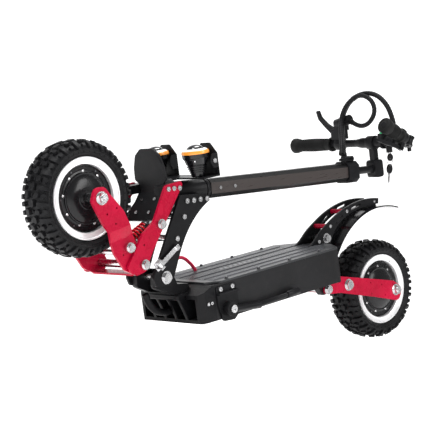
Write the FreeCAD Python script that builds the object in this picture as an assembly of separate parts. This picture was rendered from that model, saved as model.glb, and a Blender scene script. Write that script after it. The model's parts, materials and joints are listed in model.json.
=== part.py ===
"""Folding electric kick scooter with two hub motors, modelled folded.

Every piece is drawn in the deck's frame: +X forward, +Y left, +Z up, millimetres,
x = 0 at the deck's rear corners and z = 0 at its top.  At the end the whole scooter is
tipped nose-down about +Y until the rear tyre and the nose's lower edge share one floor.
"""
import math
import os

import FreeCAD
import Part

V = FreeCAD.Vector
Y_AXIS = V(0, 1, 0)

# ---- fits ----
RUN = 0.05            # radial clearance of a shaft in its bearing
GAP = 0.5             # side clearance between faces that move past each other
TOUCH = 0.3           # clearance at the open pivots of the damper linkages

# ---- wheels ----
TYRE_R = 142.0        # eleven-inch off-road tyre
TYRE_HALF_W = 45.0
RIM_R = 97.0
RIM_INNER_R = 81.0
RIM_HALF_W = 38.0
MOTOR_HALF_W = 34.0
MOTOR_CAP_R = 60.0
MOTOR_CAP_H = 9.0
AXLE_R = 8.0
REAR_AXLE = (-252.3, -172.4)
FRONT_AXLE = (748.5, 262.2)

# ---- deck ----
DECK_HALF_W = 120.0
DECK_TAIL_HALF_W = 64.0
DECK_TAIL_X = -38.0
NOSE_SEAM_X = 462.0
NOSE_X = 509.0
NOSE_HALF_W = 107.0
NOSE_DROP = 20.0
NOSE_OVERHANG = 23.0
DECK_Z = -94.5
PLATE_T = 5.0
WALL = 4.0
RIDGE_H = 2.5
BATTERY_CLEAR = 8.0

# ---- fold hinge and neck ----
FOLD = (553.0, 31.0)
FOLD_PIN_R = 8.0
NECK_IN = 46.0
NECK_T = 8.0
BASE_HALF_W = NECK_IN - GAP
BOLT_ROW = [(455.0, 205.0), (433.0, 203.0), (411.0, 202.0), (388.0, 200.0)]

# ---- steering axis, stem and telescopic tube ----
STEER_REF = (415.0, 223.6)
STEER_RISE = 4.57     # degrees the axis climbs towards the front
HEAD_R = 27.0
HEAD_LEN = 118.0
STEERER_R = 17.0
STEM_HALF = 25.0
STEM_FLAT = 14.0
STEM_WALL = 4.0
STEM_LEN = 548.0
TUBE_R = 11.0
TUBE_OUT = 106.0      # length of inner tube showing
TUBE_IN = 150.0       # length of inner tube inside the stem

# ---- fork ----
LEG_IN = 84.0
LEG_T = 8.0
ARM_IN = LEG_IN - GAP - LEG_T
ARM_PIVOT = (648.0, 84.0)
SHOCK_LOW = (682.0, 132.0)
SHOCK_TOP = (581.0, 170.0)
SHOCK_Y = 53.0
SPRING_R = 17.0
SPRING_WALL = 4.0
ROD_R = 5.0

# ---- rear arm and damper ----
REAR_PIVOT = (25.0, -112.0)
REAR_SHOCK_TOP = (-57.0, 12.0)
REAR_SHOCK_LOW = (-58.0, -117.0)
REAR_SPRING_R = 17.0
ARCH_IN = 23.0
ARCH_T = 8.0

# ---- lamps ----
LAMP_R = 34.0
LAMP_X = 425.0
LAMP_Y = 76.0
LAMP_LIFT = 11.4      # from the head tube to the lamps' foot
LAMP_TALL = 58.0
LAMP_Z = (STEER_REF[1] + HEAD_R + LAMP_LIFT, STEER_REF[1] + HEAD_R + LAMP_LIFT + LAMP_TALL)

# ---- handlebar ----
BAR_PAST = 93.4       # from the tube's showing length to the bar, along the steering axis
BAR_OVER = 76.0       # of the bar above the axis
BAR_BACK = STEM_LEN + TUBE_OUT + BAR_PAST
BAR = (STEER_REF[0] - BAR_BACK * math.cos(math.radians(STEER_RISE)),
       STEER_REF[1] - BAR_BACK * math.sin(math.radians(STEER_RISE)) + BAR_OVER)
BAR_R = 11.0
GRIP_R = 17.5
RIGHT_END = -310.0
RIGHT_GRIP_LEN = 158.0
LEFT_STUB = 112.0
LEFT_HINGE_Y = 134.0
LEFT_GRIP_LEN = 84.0
LEFT_GRIP_RISE = 31.0

nodes = {}
fasteners = {}        # node name to its separate solids


# ---------------------------------------------------------------- helpers
def p3(xz, y=0.0):
    """Point at height and length xz, at lateral position y."""
    return V(xz[0], y, xz[1])


def cyl(r, start, end):
    """Cylinder of radius r from point start to point end."""
    run = end - start
    return Part.makeCylinder(r, run.Length, start, run)


def across(r, xz, y0, y1):
    """Cylinder along Y at xz, from y0 to y1."""
    return cyl(r, p3(xz, min(y0, y1)), p3(xz, max(y0, y1)))


def box(x0, x1, y0, y1, z0, z1):
    return Part.makeBox(x1 - x0, y1 - y0, z1 - z0, V(x0, y0, z0))


def fuse(shapes):
    """One solid out of several that meet."""
    shapes = list(shapes)
    return shapes[0].multiFuse(shapes[1:]).removeSplitter()


def cut(shape, tools):
    return shape.cut(Part.makeCompound(list(tools)))


def group(shapes):
    return Part.makeCompound(list(shapes))


def fasten(name, shapes):
    """Add separate solids to a node of fasteners or other small pieces."""
    fasteners.setdefault(name, []).extend(shapes)


def rounded(points, closed=True):
    """Wire through points (V); a point given as (V, r) gets an arc of radius r."""
    items = []
    for item in points:
        items.append(item if isinstance(item, tuple) else (item, 0.0))
    n = len(items)
    edges = []
    ends = []
    for i, (p, r) in enumerate(items):
        if r <= 0 or (not closed and i in (0, n - 1)):
            ends.append((p, p, None))
            continue
        a = items[i - 1][0] - p
        b = items[(i + 1) % n][0] - p
        half = a.getAngle(b) / 2
        back = r / math.tan(half)
        a.normalize()
        b.normalize()
        bisector = a + b
        bisector.normalize()
        mid = p + bisector * (r / math.sin(half) - r)
        ends.append((p + a * back, p + b * back, mid))
    count = n if closed else n - 1
    for i in range(n):
        start, end, mid = ends[i]
        if mid is not None:
            edges.append(Part.Arc(start, mid, end).toShape())
        if i < count:
            nxt = ends[(i + 1) % n][0]
            if (nxt - end).Length > 1e-4:
                edges.append(Part.LineSegment(end, nxt).toShape())
    return Part.Wire(edges)


def slab(outline, y0, y1):
    """Plate with an outline of (x, z) or (x, z, corner radius), from y0 to y1."""
    pts = []
    for item in outline:
        p = V(item[0], y0, item[1])
        pts.append((p, item[2]) if len(item) > 2 else p)
    return Part.Face(rounded(pts)).extrude(V(0, y1 - y0, 0))


def plan(outline, z0, z1):
    """Prism with an outline of (x, y) or (x, y, corner radius), from z0 to z1."""
    pts = []
    for item in outline:
        p = V(item[0], item[1], z0)
        pts.append((p, item[2]) if len(item) > 2 else p)
    return Part.Face(rounded(pts)).extrude(V(0, 0, z1 - z0))


def frame_slab(outline, x0, x1):
    """Prism with an outline of (y, z), from x0 to x1."""
    pts = []
    for item in outline:
        p = V(x0, item[0], item[1])
        pts.append((p, item[2]) if len(item) > 2 else p)
    return Part.Face(rounded(pts)).extrude(V(x1 - x0, 0, 0))


def turned(profile, xz):
    """Solid of revolution about Y at xz, from (radius, y) points."""
    pts = []
    for item in profile:
        p = V(xz[0] + item[0], item[1], xz[1])
        pts.append((p, item[2]) if len(item) > 2 else p)
    return Part.Face(rounded(pts)).revolve(p3(xz), Y_AXIS, 360)


def hex_bolt(xz, y, r, h, side=1):
    """Washer and hexagon head standing out from the face at y, on the side given."""
    washer = across(r * 1.25, xz, side * y, side * (y + 1.5))
    pts = []
    for i in range(6):
        a = math.radians(60 * i + 15)
        pts.append(V(xz[0] + r * math.cos(a), side * (y + 1.5), xz[1] + r * math.sin(a)))
    head = Part.Face(Part.makePolygon(pts + [pts[0]])).extrude(V(0, side * (h - 1.5), 0))
    return washer.fuse(head)


def cap_screw(xz, y, r, h, side=1):
    """Round head with a socket, standing out from the face at y."""
    head = across(r, xz, side * y, side * (y + h))
    socket = across(r * 0.5, xz, side * (y + h * 0.4), side * (y + h + 1))
    return head.cut(socket)


def along(s, y=0.0, h=0.0):
    """Point at distance s forward along the steering axis, y to the left, h above it."""
    a = math.radians(STEER_RISE)
    return V(STEER_REF[0] + s * math.cos(a) - h * math.sin(a), y,
             STEER_REF[1] + s * math.sin(a) + h * math.cos(a))


def on_axis(r, s0, s1):
    return cyl(r, along(s0), along(s1))


def axis_box(s0, s1, half_w, h0, h1):
    """Box square to the steering axis, from s0 to s1 and from h0 to h1 above it."""
    pts = [along(s0, -half_w, h0), along(s0, half_w, h0),
           along(s0, half_w, h1), along(s0, -half_w, h1)]
    return Part.Face(Part.makePolygon(pts + [pts[0]])).extrude(along(s1) - along(s0))


def axis_prism(outline, s0, s1):
    """Prism along the steering axis with an outline of (y, h)."""
    pts = [along(s0, y, h) for y, h in outline]
    return Part.Face(Part.makePolygon(pts + [pts[0]])).extrude(along(s1) - along(s0))


def tube_path(points, r, name):
    """Round cord along straight runs joined by tangent arcs; prints its radii."""
    items = [points[0]]
    radii = []
    for i in range(1, len(points) - 1):
        a = points[i - 1] - points[i]
        b = points[i + 1] - points[i]
        half_turn = (math.pi - a.getAngle(b)) / 2
        radius = 0.45 * min(a.Length, b.Length) / math.tan(half_turn)
        radii.append(round(radius, 1))
        items.append((points[i], radius))
    items.append(points[-1])
    path = rounded(items, closed=False)
    ring = Part.Wire(Part.makeCircle(r, points[0], points[1] - points[0]))
    solid = path.makePipeShell([ring], True, False)
    print(name, "length %.0f radii %s volume ratio %.3f" % (
        path.Length, radii, solid.Volume / (math.pi * r * r * path.Length)))
    return solid


def unit(a, b):
    d = V(b[0] - a[0], 0, b[1] - a[1])
    d.normalize()
    return d


# ---------------------------------------------------------------- wheels
def wheel(prefix, xz):
    """Tyre, rim and hub motor about one axle."""
    shoulder = TYRE_R - 12
    bulge = RIM_R + (shoulder - RIM_R) * 17 / 33
    nodes[prefix + "_tyre"] = turned([
        (RIM_R, -TYRE_HALF_W + 12), (RIM_R, TYRE_HALF_W - 12),
        (bulge, TYRE_HALF_W), (shoulder, TYRE_HALF_W, 5),
        (TYRE_R, TYRE_HALF_W - 14, 8), (TYRE_R, -TYRE_HALF_W + 14, 8),
        (shoulder, -TYRE_HALF_W, 5), (bulge, -TYRE_HALF_W)], xz)
    nodes[prefix + "_rim"] = turned([
        (RIM_INNER_R, -RIM_HALF_W + 6), (RIM_INNER_R + 4, -RIM_HALF_W), (RIM_R - 1.5, -RIM_HALF_W),
        (RIM_R - 1.5, -RIM_HALF_W + 4), (RIM_R, -TYRE_HALF_W + 12), (RIM_R, TYRE_HALF_W - 12),
        (RIM_R - 1.5, RIM_HALF_W - 4), (RIM_R - 1.5, RIM_HALF_W), (RIM_INNER_R + 4, RIM_HALF_W),
        (RIM_INNER_R, RIM_HALF_W - 6)], xz)
    bore = AXLE_R + RUN
    cap = MOTOR_HALF_W + MOTOR_CAP_H
    motor = turned([
        (bore, -cap), (MOTOR_CAP_R * 0.45, -cap), (MOTOR_CAP_R, -MOTOR_HALF_W - 2),
        (MOTOR_CAP_R, -MOTOR_HALF_W), (RIM_INNER_R - 6, -MOTOR_HALF_W + 6), (RIM_INNER_R, -MOTOR_HALF_W + 8),
        (RIM_INNER_R, MOTOR_HALF_W - 8), (RIM_INNER_R - 6, MOTOR_HALF_W - 6), (MOTOR_CAP_R, MOTOR_HALF_W),
        (MOTOR_CAP_R, MOTOR_HALF_W + 2), (MOTOR_CAP_R * 0.45, cap), (bore, cap)], xz)
    nodes[prefix + "_motor"] = motor


def axle(xz, face):
    """Axle with a spacer inside and a washer and nut outside each arm."""
    parts = [across(AXLE_R, xz, -face - 14, face + 14)]
    for side in (-1, 1):
        parts.append(across(AXLE_R + 5, xz, side * (MOTOR_HALF_W + MOTOR_CAP_H + GAP), side * (face - LEG_T)))
        parts.append(hex_bolt(xz, face, 13, 11, side))
    return fuse(parts)


# ---------------------------------------------------------------- deck
def deck_outline(inset, x_end):
    w = DECK_HALF_W - inset
    t = DECK_TAIL_HALF_W - inset * 0.6
    return [(DECK_TAIL_X + inset, -t), (DECK_TAIL_X + inset, t), (inset * 0.4, w),
            (x_end, w), (x_end, -w), (inset * 0.4, -w)]


def deck():
    """Battery tub, top plate with ridges, nose casting, fold hinge base and fasteners."""
    top = -PLATE_T
    tub = plan(deck_outline(0, NOSE_SEAM_X), DECK_Z, top)
    hollow = plan(deck_outline(WALL, NOSE_SEAM_X - WALL), DECK_Z + WALL, top)
    lugs = []
    for side in (-1, 1):
        y0, y1 = sorted((side * (ARM_IN - 12), side * (LEG_IN - GAP)))
        px, pz = REAR_PIVOT
        lugs.append(slab([(px - 18, DECK_Z + 1), (px + 34, DECK_Z + 1), (px + 13, pz - 14, 6),
                          (px - 13, pz - 14, 9)], y0, y1))
    tub = fuse([tub.cut(hollow)] + lugs)
    tub = tub.cut(across(AXLE_R + RUN, REAR_PIVOT, -LEG_IN, LEG_IN))
    nodes["deck_tub"] = tub
    b = WALL + BATTERY_CLEAR
    nodes["battery_pack"] = plan([(30, -DECK_HALF_W + b), (30, DECK_HALF_W - b),
                                  (NOSE_SEAM_X - 60, DECK_HALF_W - b), (NOSE_SEAM_X - 60, -DECK_HALF_W + b)],
                                 DECK_Z + WALL, top - BATTERY_CLEAR)
    plate = plan([(DECK_TAIL_X, -DECK_TAIL_HALF_W), (DECK_TAIL_X, DECK_TAIL_HALF_W), (0, DECK_HALF_W),
                  (NOSE_SEAM_X - 30, DECK_HALF_W), (NOSE_SEAM_X, DECK_HALF_W - 34),
                  (NOSE_SEAM_X, -DECK_HALF_W + 34), (NOSE_SEAM_X - 30, -DECK_HALF_W),
                  (0, -DECK_HALF_W)], top, 0)
    ridges = []
    for y, half, x0 in ((0, 22, -20), (-46, 14, -16), (46, 14, -16), (-84, 12, 16), (84, 12, 16)):
        ridges.append(plan([(x0, y - half, 3), (x0, y + half, 3), (NOSE_SEAM_X - 22, y + half, 3),
                            (NOSE_SEAM_X - 22, y - half, 3)], -0.5, RIDGE_H))
    nodes["deck_plate"] = fuse([plate] + ridges)

    # nose casting: sloping roof, floor, side cheeks and gussets, open to the front
    front = [(NOSE_SEAM_X, -DECK_HALF_W), (NOSE_SEAM_X, DECK_HALF_W), (NOSE_X - 14, DECK_HALF_W),
             (NOSE_X, NOSE_HALF_W), (NOSE_X, -NOSE_HALF_W), (NOSE_X - 14, -DECK_HALF_W)]
    block = plan(front, DECK_Z, top)
    roof_cut = slab([(NOSE_SEAM_X + 4, 5), (NOSE_SEAM_X + 4, top), (NOSE_X + 5, top - NOSE_DROP),
                     (NOSE_X + 5, 5)], -DECK_HALF_W - 1, DECK_HALF_W + 1)
    block = block.cut(roof_cut)
    pockets = []
    for y0, y1 in ((-98, -65), (-55, -25), (-15, 15), (25, 55), (65, 98)):
        pockets.append(box(NOSE_SEAM_X + 8, NOSE_X + 1, y0, y1, DECK_Z + 9, top - NOSE_DROP - 8))
    block = cut(block, pockets)
    ledge = slab([(NOSE_X - 12, top - 12), (NOSE_X + NOSE_OVERHANG, top - 14, 3),
                  (NOSE_X + NOSE_OVERHANG, top - 27, 4), (NOSE_X - 12, top - 34)], -65, 65)
    gussets = []
    for y in (-60, -20, 20, 60):
        tip = V(NOSE_X + NOSE_OVERHANG, y - 5, top - 24)
        low = V(NOSE_X - 2, y - 5, DECK_Z)
        mid = V(NOSE_X + 10, y - 5, top - 52)
        back_top = V(NOSE_X - 12, y - 5, top - 24)
        back_low = V(NOSE_X - 12, y - 5, DECK_Z)
        rim = Part.Wire([Part.Arc(tip, mid, low).toShape()] + [
            Part.LineSegment(a, b).toShape() for a, b in ((low, back_low), (back_low, back_top), (back_top, tip))])
        gussets.append(Part.Face(rim).extrude(V(0, 10, 0)))
    nodes["nose_casting"] = fuse([block, ledge] + gussets)

    # hinge base standing on the nose, with the fold pin through it
    x, z = FOLD
    base = slab([(NOSE_SEAM_X + 14, 0), (x - 40, 6), (x - 26, z + 14, 12), (x + 2, z + 24, 14),
                 (x + 28, z + 10, 14), (x + 30, z - 22, 12), (NOSE_X + 22, top - 14), (NOSE_X, top - NOSE_DROP + 1),
                 (NOSE_SEAM_X + 14, top - 4)], -BASE_HALF_W, BASE_HALF_W)
    base = base.cut(nodes["nose_casting"])
    base = base.cut(across(FOLD_PIN_R + RUN, FOLD, -60, 60))
    base = base.cut(box(x - 18, x + 60, -26, 26, z - 40, z + 60))
    nodes["hinge_base"] = max(base.Solids, key=lambda s: s.Volume)
    outer = NECK_IN + NECK_T
    pin = [across(FOLD_PIN_R, FOLD, -outer - 2, outer + 2)]
    for side in (-1, 1):
        pin.append(hex_bolt(FOLD, outer + GAP, 13, 8, side))
    fasten("deck_bolts", [fuse(pin)])

    # edge knobs on the plate, seam bolts and the rear arm's pivot
    knobs = []
    seam = []
    for side in (-1, 1):
        for x in (60, 175, 290, 405):
            knobs.append(cyl(4.5, V(x, side * (DECK_HALF_W - 11), 0), V(x, side * (DECK_HALF_W - 11), 5)))
        for x in (NOSE_X - 34, NOSE_X - 22):
            seam.append(cap_screw((x, -48), DECK_HALF_W, 4, 3, side))
    nodes["deck_plate"] = fuse([nodes["deck_plate"]] + knobs)
    pivot = [across(AXLE_R, REAR_PIVOT, -LEG_IN - LEG_T - 2, LEG_IN + LEG_T + 2)]
    for side in (-1, 1):
        pivot.append(hex_bolt(REAR_PIVOT, LEG_IN + LEG_T + GAP, 11, 8, side))
    fasten("deck_bolts", seam + [fuse(pivot)])


def spline(points, y):
    curve = Part.BSplineCurve()
    curve.interpolate([V(x, y, z) for x, z in points])
    return curve.toShape()


def first(edge):
    return edge.valueAt(edge.FirstParameter)


def last(edge):
    return edge.valueAt(edge.LastParameter)


def rear_mudguard():
    """Arched mudguard, its two black arches, the red rails between them and their bolts."""
    low, mid, tip = (-66.0, -48.0), (-262.0, 64.0), (-355.0, 48.0)
    arc = Part.Arc(p3(low), p3(mid), p3(tip))
    centre = arc.toShape().Curve.Center
    radius = arc.toShape().Curve.Radius
    thick = 3.5
    sheet = []
    for p in (low, mid, tip):
        d = unit((centre.x, centre.z), p)
        sheet.append((p3(p, -50), p3(p, -50) - d * thick))
    outer = Part.Arc(*[a for a, b in sheet]).toShape()
    inner = Part.Arc(*[b for a, b in sheet]).toShape()
    rim = Part.Wire([outer, Part.LineSegment(sheet[2][0], sheet[2][1]).toShape(), inner,
                     Part.LineSegment(sheet[0][1], sheet[0][0]).toShape()])
    notch = REAR_SPRING_R + 4
    slot = box(REAR_SHOCK_TOP[0] - notch - 2, 0, -notch, notch, -80, 20)
    nodes["rear_mudguard"] = Part.Face(rim).extrude(V(0, 100, 0)).cut(slot)
    disc = cyl(radius, V(centre.x, -60, centre.z), V(centre.x, 60, centre.z))

    arches = []
    for y0 in (ARCH_IN, -ARCH_IN - ARCH_T):
        top = spline([(10, 2), (-16, 16), (-40, 33), (-74, 51), (-110, 67), (-150, 80), (-200, 89),
                      (-250, 90), (-293, 84)], y0)
        under = spline([(-290, 69), (-250, 70), (-205, 68), (-160, 60), (-125, 47), (-96, 28), (-78, 6)], y0)
        corners = [p3((-72, -4), y0), p3((-60, -9), y0), p3((-46, -6), y0), p3((-40, 0), y0), p3((10, 0), y0)]
        stops = [last(under)] + corners + [first(top)]
        edges = [top, Part.LineSegment(last(top), first(under)).toShape(), under]
        for a, b in zip(stops, stops[1:]):
            edges.append(Part.LineSegment(a, b).toShape())
        plate = Part.Face(Part.Wire(edges)).extrude(V(0, ARCH_T, 0))
        plate = plate.cut(disc)
        windows = []
        for rim in ([(-98, 38, 1.5), (-105, 49, 1.5), (-134, 66, 1.5), (-136, 59, 1.5), (-112, 47, 1.5)],
                    [(-168, 69, 2), (-176, 77, 2), (-216, 83, 2), (-212, 76, 2)]):
            windows.append(slab(rim, y0 - 1, y0 + ARCH_T + 1))
        arches.append(cut(plate, windows))
    clamp = box(-288, -252, -ARCH_IN, ARCH_IN, 40, 80)
    nodes["rear_arches"] = group(arches + [clamp.cut(disc)])
    nodes["arch_rails"] = group(across(6.5, xz, -ARCH_IN, ARCH_IN) for xz in ((-76, 42), (-150, 71)))
    bolts = []
    for side in (-1, 1):
        for xz, r in (((-76, 42), 5), ((-150, 71), 5), ((-270, 78), 4), ((-24, 8), 5)):
            bolts.append(cap_screw(xz, ARCH_IN + ARCH_T, r, 4, side))
        bolts.append(hex_bolt(REAR_SHOCK_TOP, ARCH_IN + ARCH_T, 11, 9, side))
    shaft = across(6, REAR_SHOCK_TOP, -ARCH_IN, ARCH_IN)
    fasten("deck_bolts", bolts + [shaft])


# ---------------------------------------------------------------- dampers
def damper(prefix, top, low, y, spring_r, eye_half, pins):
    """Damper body, sliding rod and spring from top to low at each lateral place in y."""
    d = unit(top, low)
    length = math.hypot(low[0] - top[0], low[1] - top[1])
    bodies, rods, springs = [], [], []
    for c in y:
        a = p3(top, c)
        b = p3(low, c)
        body_r = spring_r - SPRING_WALL - 1
        eye = across(10, top, c - eye_half, c + eye_half)
        throat = cyl(eye_half - 0.5, a, a + d * 14)
        barrel = cyl(body_r, a + d * 13, a + d * (length * 0.5))
        collar = cyl(spring_r, a + d * 15, a + d * 19)
        body = fuse([eye, throat, barrel, collar])
        body = body.cut(cyl(ROD_R + RUN, a + d * 20, b))
        bodies.append(body.cut(across(pins[0], top, c - eye_half - 1, c + eye_half + 1)))
        foot = across(pins[1] + 2.8, low, c - eye_half, c + eye_half)
        rod = cyl(ROD_R, a + d * 34, b - d * 8)
        seat = cyl(spring_r, b - d * 19, b - d * 15)
        neck = cyl(eye_half - 0.5, b - d * 16, b - d * 2)
        rod = fuse([foot, rod, seat, neck])
        rods.append(rod.cut(across(pins[1] + TOUCH, low, c - eye_half - 1, c + eye_half + 1)))
        start, end = a + d * 19, b - d * 19
        springs.append(cyl(spring_r, start, end).cut(cyl(spring_r - SPRING_WALL, start - d, end + d)))
    nodes[prefix + "_body"] = group(bodies)
    nodes[prefix + "_rod"] = group(rods)
    nodes[prefix + "_spring"] = group(springs)


def rear_suspension():
    """Rear swing arm, its damper shaft, the wheel's axle and the damper."""
    x, z = REAR_AXLE
    px, pz = REAR_PIVOT
    outline = [(x + 6, z + 27, 18), (-126, -113, 40), (-31, -88, 4), (-28, -104, 3), (px - 4, pz + 12.6),
               (px + 11, pz + 8, 6), (px + 11, pz - 10, 8), (px - 6, pz - 14), (-27, -133, 20), (-112, -159),
               (-175, -178), (x - 8, z - 34, 18), (x - 31, z, 22)]
    plates = []
    for side in (-1, 1):
        y0, y1 = sorted((side * LEG_IN, side * (LEG_IN + LEG_T)))
        plate = slab(outline, y0, y1)
        plate = plate.cut(across(AXLE_R + RUN, REAR_PIVOT, y0 - 1, y1 + 1))
        holes = [across(AXLE_R, REAR_AXLE, y0 - 1, y1 + 1), across(6, REAR_SHOCK_LOW, y0 - 1, y1 + 1)]
        for hx, hz in ((-150, -131), (-196, -146), (-150, -162), (-205, -178)):
            holes.append(across(2.2, (hx, hz), y0 - 1, y1 + 1))
        plates.append(cut(plate, holes))
    nodes["rear_arm"] = group(plates)
    shaft = [across(6, REAR_SHOCK_LOW, -LEG_IN - LEG_T, LEG_IN + LEG_T)]
    for side in (-1, 1):
        shaft.append(across(10, REAR_SHOCK_LOW, side * 12, side * LEG_IN))
        shaft.append(hex_bolt(REAR_SHOCK_LOW, LEG_IN + LEG_T, 13, 9, side))
    nodes["rear_axle"] = group([fuse(shaft), axle(REAR_AXLE, LEG_IN + LEG_T)])
    damper("rear_damper", REAR_SHOCK_TOP, REAR_SHOCK_LOW, [0.0], REAR_SPRING_R, 11, (6.0, 6.0))


# ---------------------------------------------------------------- neck
def neck():
    """Folding neck: two side plates, the head tube between them, spacers and bolts."""
    plates = []
    for y0 in (NECK_IN, -NECK_IN - NECK_T):
        rear = spline([(377, 194), (427, 165), (464, 130), (494, 88), (516, 48), (530, 24)], y0)
        rim = rounded([last(rear), (p3((541, 8), y0), 8), (p3((587, 14), y0), 8), (p3((594, 36), y0), 8),
                       (p3((474, 223), y0), 6), (p3((386, 213), y0), 8), first(rear)], closed=False)
        plate = Part.Face(Part.Wire([rear] + rim.Edges)).extrude(V(0, NECK_T, 0))
        plates.append(plate.cut(across(FOLD_PIN_R + RUN, FOLD, y0 - 1, y0 + NECK_T + 1)))
    nodes["neck_plates"] = group(plates)

    rear_s, front_s = -70.0, HEAD_LEN - 70.0
    tube = on_axis(HEAD_R, rear_s, front_s)
    cups = [on_axis(HEAD_R + 2.5, rear_s, rear_s + 9), on_axis(HEAD_R + 2.5, front_s - 9, front_s)]
    block = slab([(392, 214), (384, 196, 6), (452, 196, 6), (461, 219)], -NECK_IN, NECK_IN)
    head = fuse([tube, block] + cups)
    nodes["head_tube"] = head.cut(on_axis(STEERER_R + RUN, rear_s - 1, front_s + 1))

    face = NECK_IN + NECK_T
    parts = [across(9, (471, 168), -NECK_IN, NECK_IN), across(9, (503, 119), -NECK_IN, NECK_IN)]
    for side in (-1, 1):
        for xz in BOLT_ROW:
            parts.append(cap_screw(xz, face, 6.5, 4, side))
        for xz in ((471, 168), (503, 119)):
            parts.append(cap_screw(xz, face, 6.5, 4, side))
    fasten("neck_bolts", parts)


LATCH = V(573, NECK_IN + NECK_T + 7.5, 66)
LATCH_ALONG = V(-0.87, 0, 0.493)
LATCH_AXIS = V(0.493, 0, 0.87)


def oriented(origin, u0, u1, v0, v1, w0, w1):
    """Box in the latch's frame: u along the lever, v outwards, w along its hinge pin."""
    def at(u, v, w):
        return origin + LATCH_ALONG * u + V(0, v, 0) + LATCH_AXIS * w
    ring = [at(u0, v0, w0), at(u1, v0, w0), at(u1, v1, w0), at(u0, v1, w0), at(u0, v0, w0)]
    return Part.Face(Part.makePolygon(ring)).extrude(LATCH_AXIS * (w1 - w0))


def latch():
    """Quick-release catch on the left neck plate: clevis, pin and cam lever."""
    inner = NECK_IN + NECK_T - LATCH.y
    base = oriented(LATCH, -12, 12, inner, inner + 1.7, -12, 12)
    ears = [oriented(LATCH, -7, 7, inner, 5, w, w + 5) for w in (-12, 7)]
    pin = cyl(3, LATCH - LATCH_AXIS * 12, LATCH + LATCH_AXIS * 12)
    fasten("neck_bolts", [fuse([base, pin] + ears)])
    eye = cyl(5, LATCH - LATCH_AXIS * 6.4, LATCH + LATCH_AXIS * 6.4)
    blade = oriented(LATCH, 2, 74, -2.5, 2.5, -6.4, 6.4)
    lip = oriented(LATCH, 62, 74, -2.5, 5.5, -6.4, 6.4)
    lever = fuse([eye, blade, lip])
    nodes["latch_lever"] = lever.cut(cyl(3 + RUN, LATCH - LATCH_AXIS * 13, LATCH + LATCH_AXIS * 13))


# ---------------------------------------------------------------- steering group
def fork():
    """Crown with steerer, two legs, cross shafts, bolts and the front mudguard."""
    hub = on_axis(40, 52, 94)
    steerer = on_axis(STEERER_R, -112, 54)
    yoke = box(494, 509, -LEG_IN, LEG_IN, 236, 258)
    cheeks = [box(508, 550, y0, y1, 236, 258) for y0, y1 in ((-LEG_IN, -48), (48, LEG_IN))]
    brace = slab([(508, 238), (557, 180), (552, 176), (500, 236)], -60, 60)
    crown = fuse([hub, steerer, yoke, brace] + cheeks)
    nodes["fork_crown"] = crown.cut(box(509, 530, -48, 48, 240, 275))

    leg_outline = [(494, 253, 8), (498, 262, 6), (548, 259, 12), (600, 180, 40), (638, 158, 30),
                   (697, 88, 10), (688, 68, 10), (662, 64, 10), (642, 72, 10), (614, 112, 30)]
    legs = []
    for side in (-1, 1):
        y0, y1 = sorted((side * LEG_IN, side * (LEG_IN + LEG_T)))
        leg = slab(leg_outline, y0, y1)
        groove = slab([(523, 226, 3), (543, 228, 3), (589, 166, 4), (570, 160, 4)],
                      *sorted((side * (LEG_IN + LEG_T - 1), side * (LEG_IN + LEG_T + 1))))
        legs.append(cut(leg, [groove, across(2.5, (640, 130), y0 - 1, y1 + 1),
                              across(6, SHOCK_TOP, y0 - 1, y1 + 1), across(8, ARM_PIVOT, y0 - 1, y1 + 1)]))
    nodes["fork_legs"] = group(legs)

    outer = LEG_IN + LEG_T
    bolts = [across(8, ARM_PIVOT, -outer, outer)]
    for side in (-1, 1):
        bolts.append(across(6, SHOCK_TOP, side * (SHOCK_Y - 7), side * outer))
        bolts.append(across(10, SHOCK_TOP, side * (SHOCK_Y + 7.5), side * LEG_IN))
        for xz in (SHOCK_TOP, ARM_PIVOT):
            bolts.append(across(12.5, xz, side * outer, side * (outer + 5)))
            bolts.append(hex_bolt(xz, outer + 5, 10, 8, side))
        for xz in ((543, 249), (525, 248), (507, 246)):
            bolts.append(cap_screw(xz, outer, 6, 3.5, side))
    bolts.append(across(10, ARM_PIVOT, -ARM_IN + GAP, ARM_IN - GAP))
    fasten("fork_bolts", [fuse(bolts[:1] + bolts[-1:])] + bolts[1:-1])

    # mudguard: bent sheet trimmed to its outline seen from the front
    sheet = slab([(514, 347), (512, 250), (508.5, 238), (557.5, 180), (564, 172.5), (567.5, 175), (561, 183),
                  (515, 238), (516.5, 250), (519, 347)], -66, 66)
    half = [(64, 170, 6), (64, 190, 8), (44, 236, 12), (44, 257, 8), (60, 270, 8), (57, 300, 20), (46, 331, 14),
            (24, 347, 12)]
    trim = frame_slab(half + [(-y, z, r) for y, z, r in reversed(half)], 480, 620)
    guard = sheet.common(trim)
    nodes["front_mudguard"] = guard.cut(nodes["fork_crown"])
    screws = []
    n = V(49, 0, 41)
    n.normalize()
    for x, z in ((530, 221), (554, 192)):
        for y in (-24.5, 24.5):
            at = V(x, y, z) - n * 2
            screws.append(cyl(4.5, at, at + n * 7))
    screws = [s.cut(nodes["front_mudguard"]).cut(nodes["fork_crown"]) for s in screws]
    fasten("fork_bolts", [max(s.Solids, key=lambda q: q.CenterOfMass.dot(n)) for s in screws])


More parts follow.
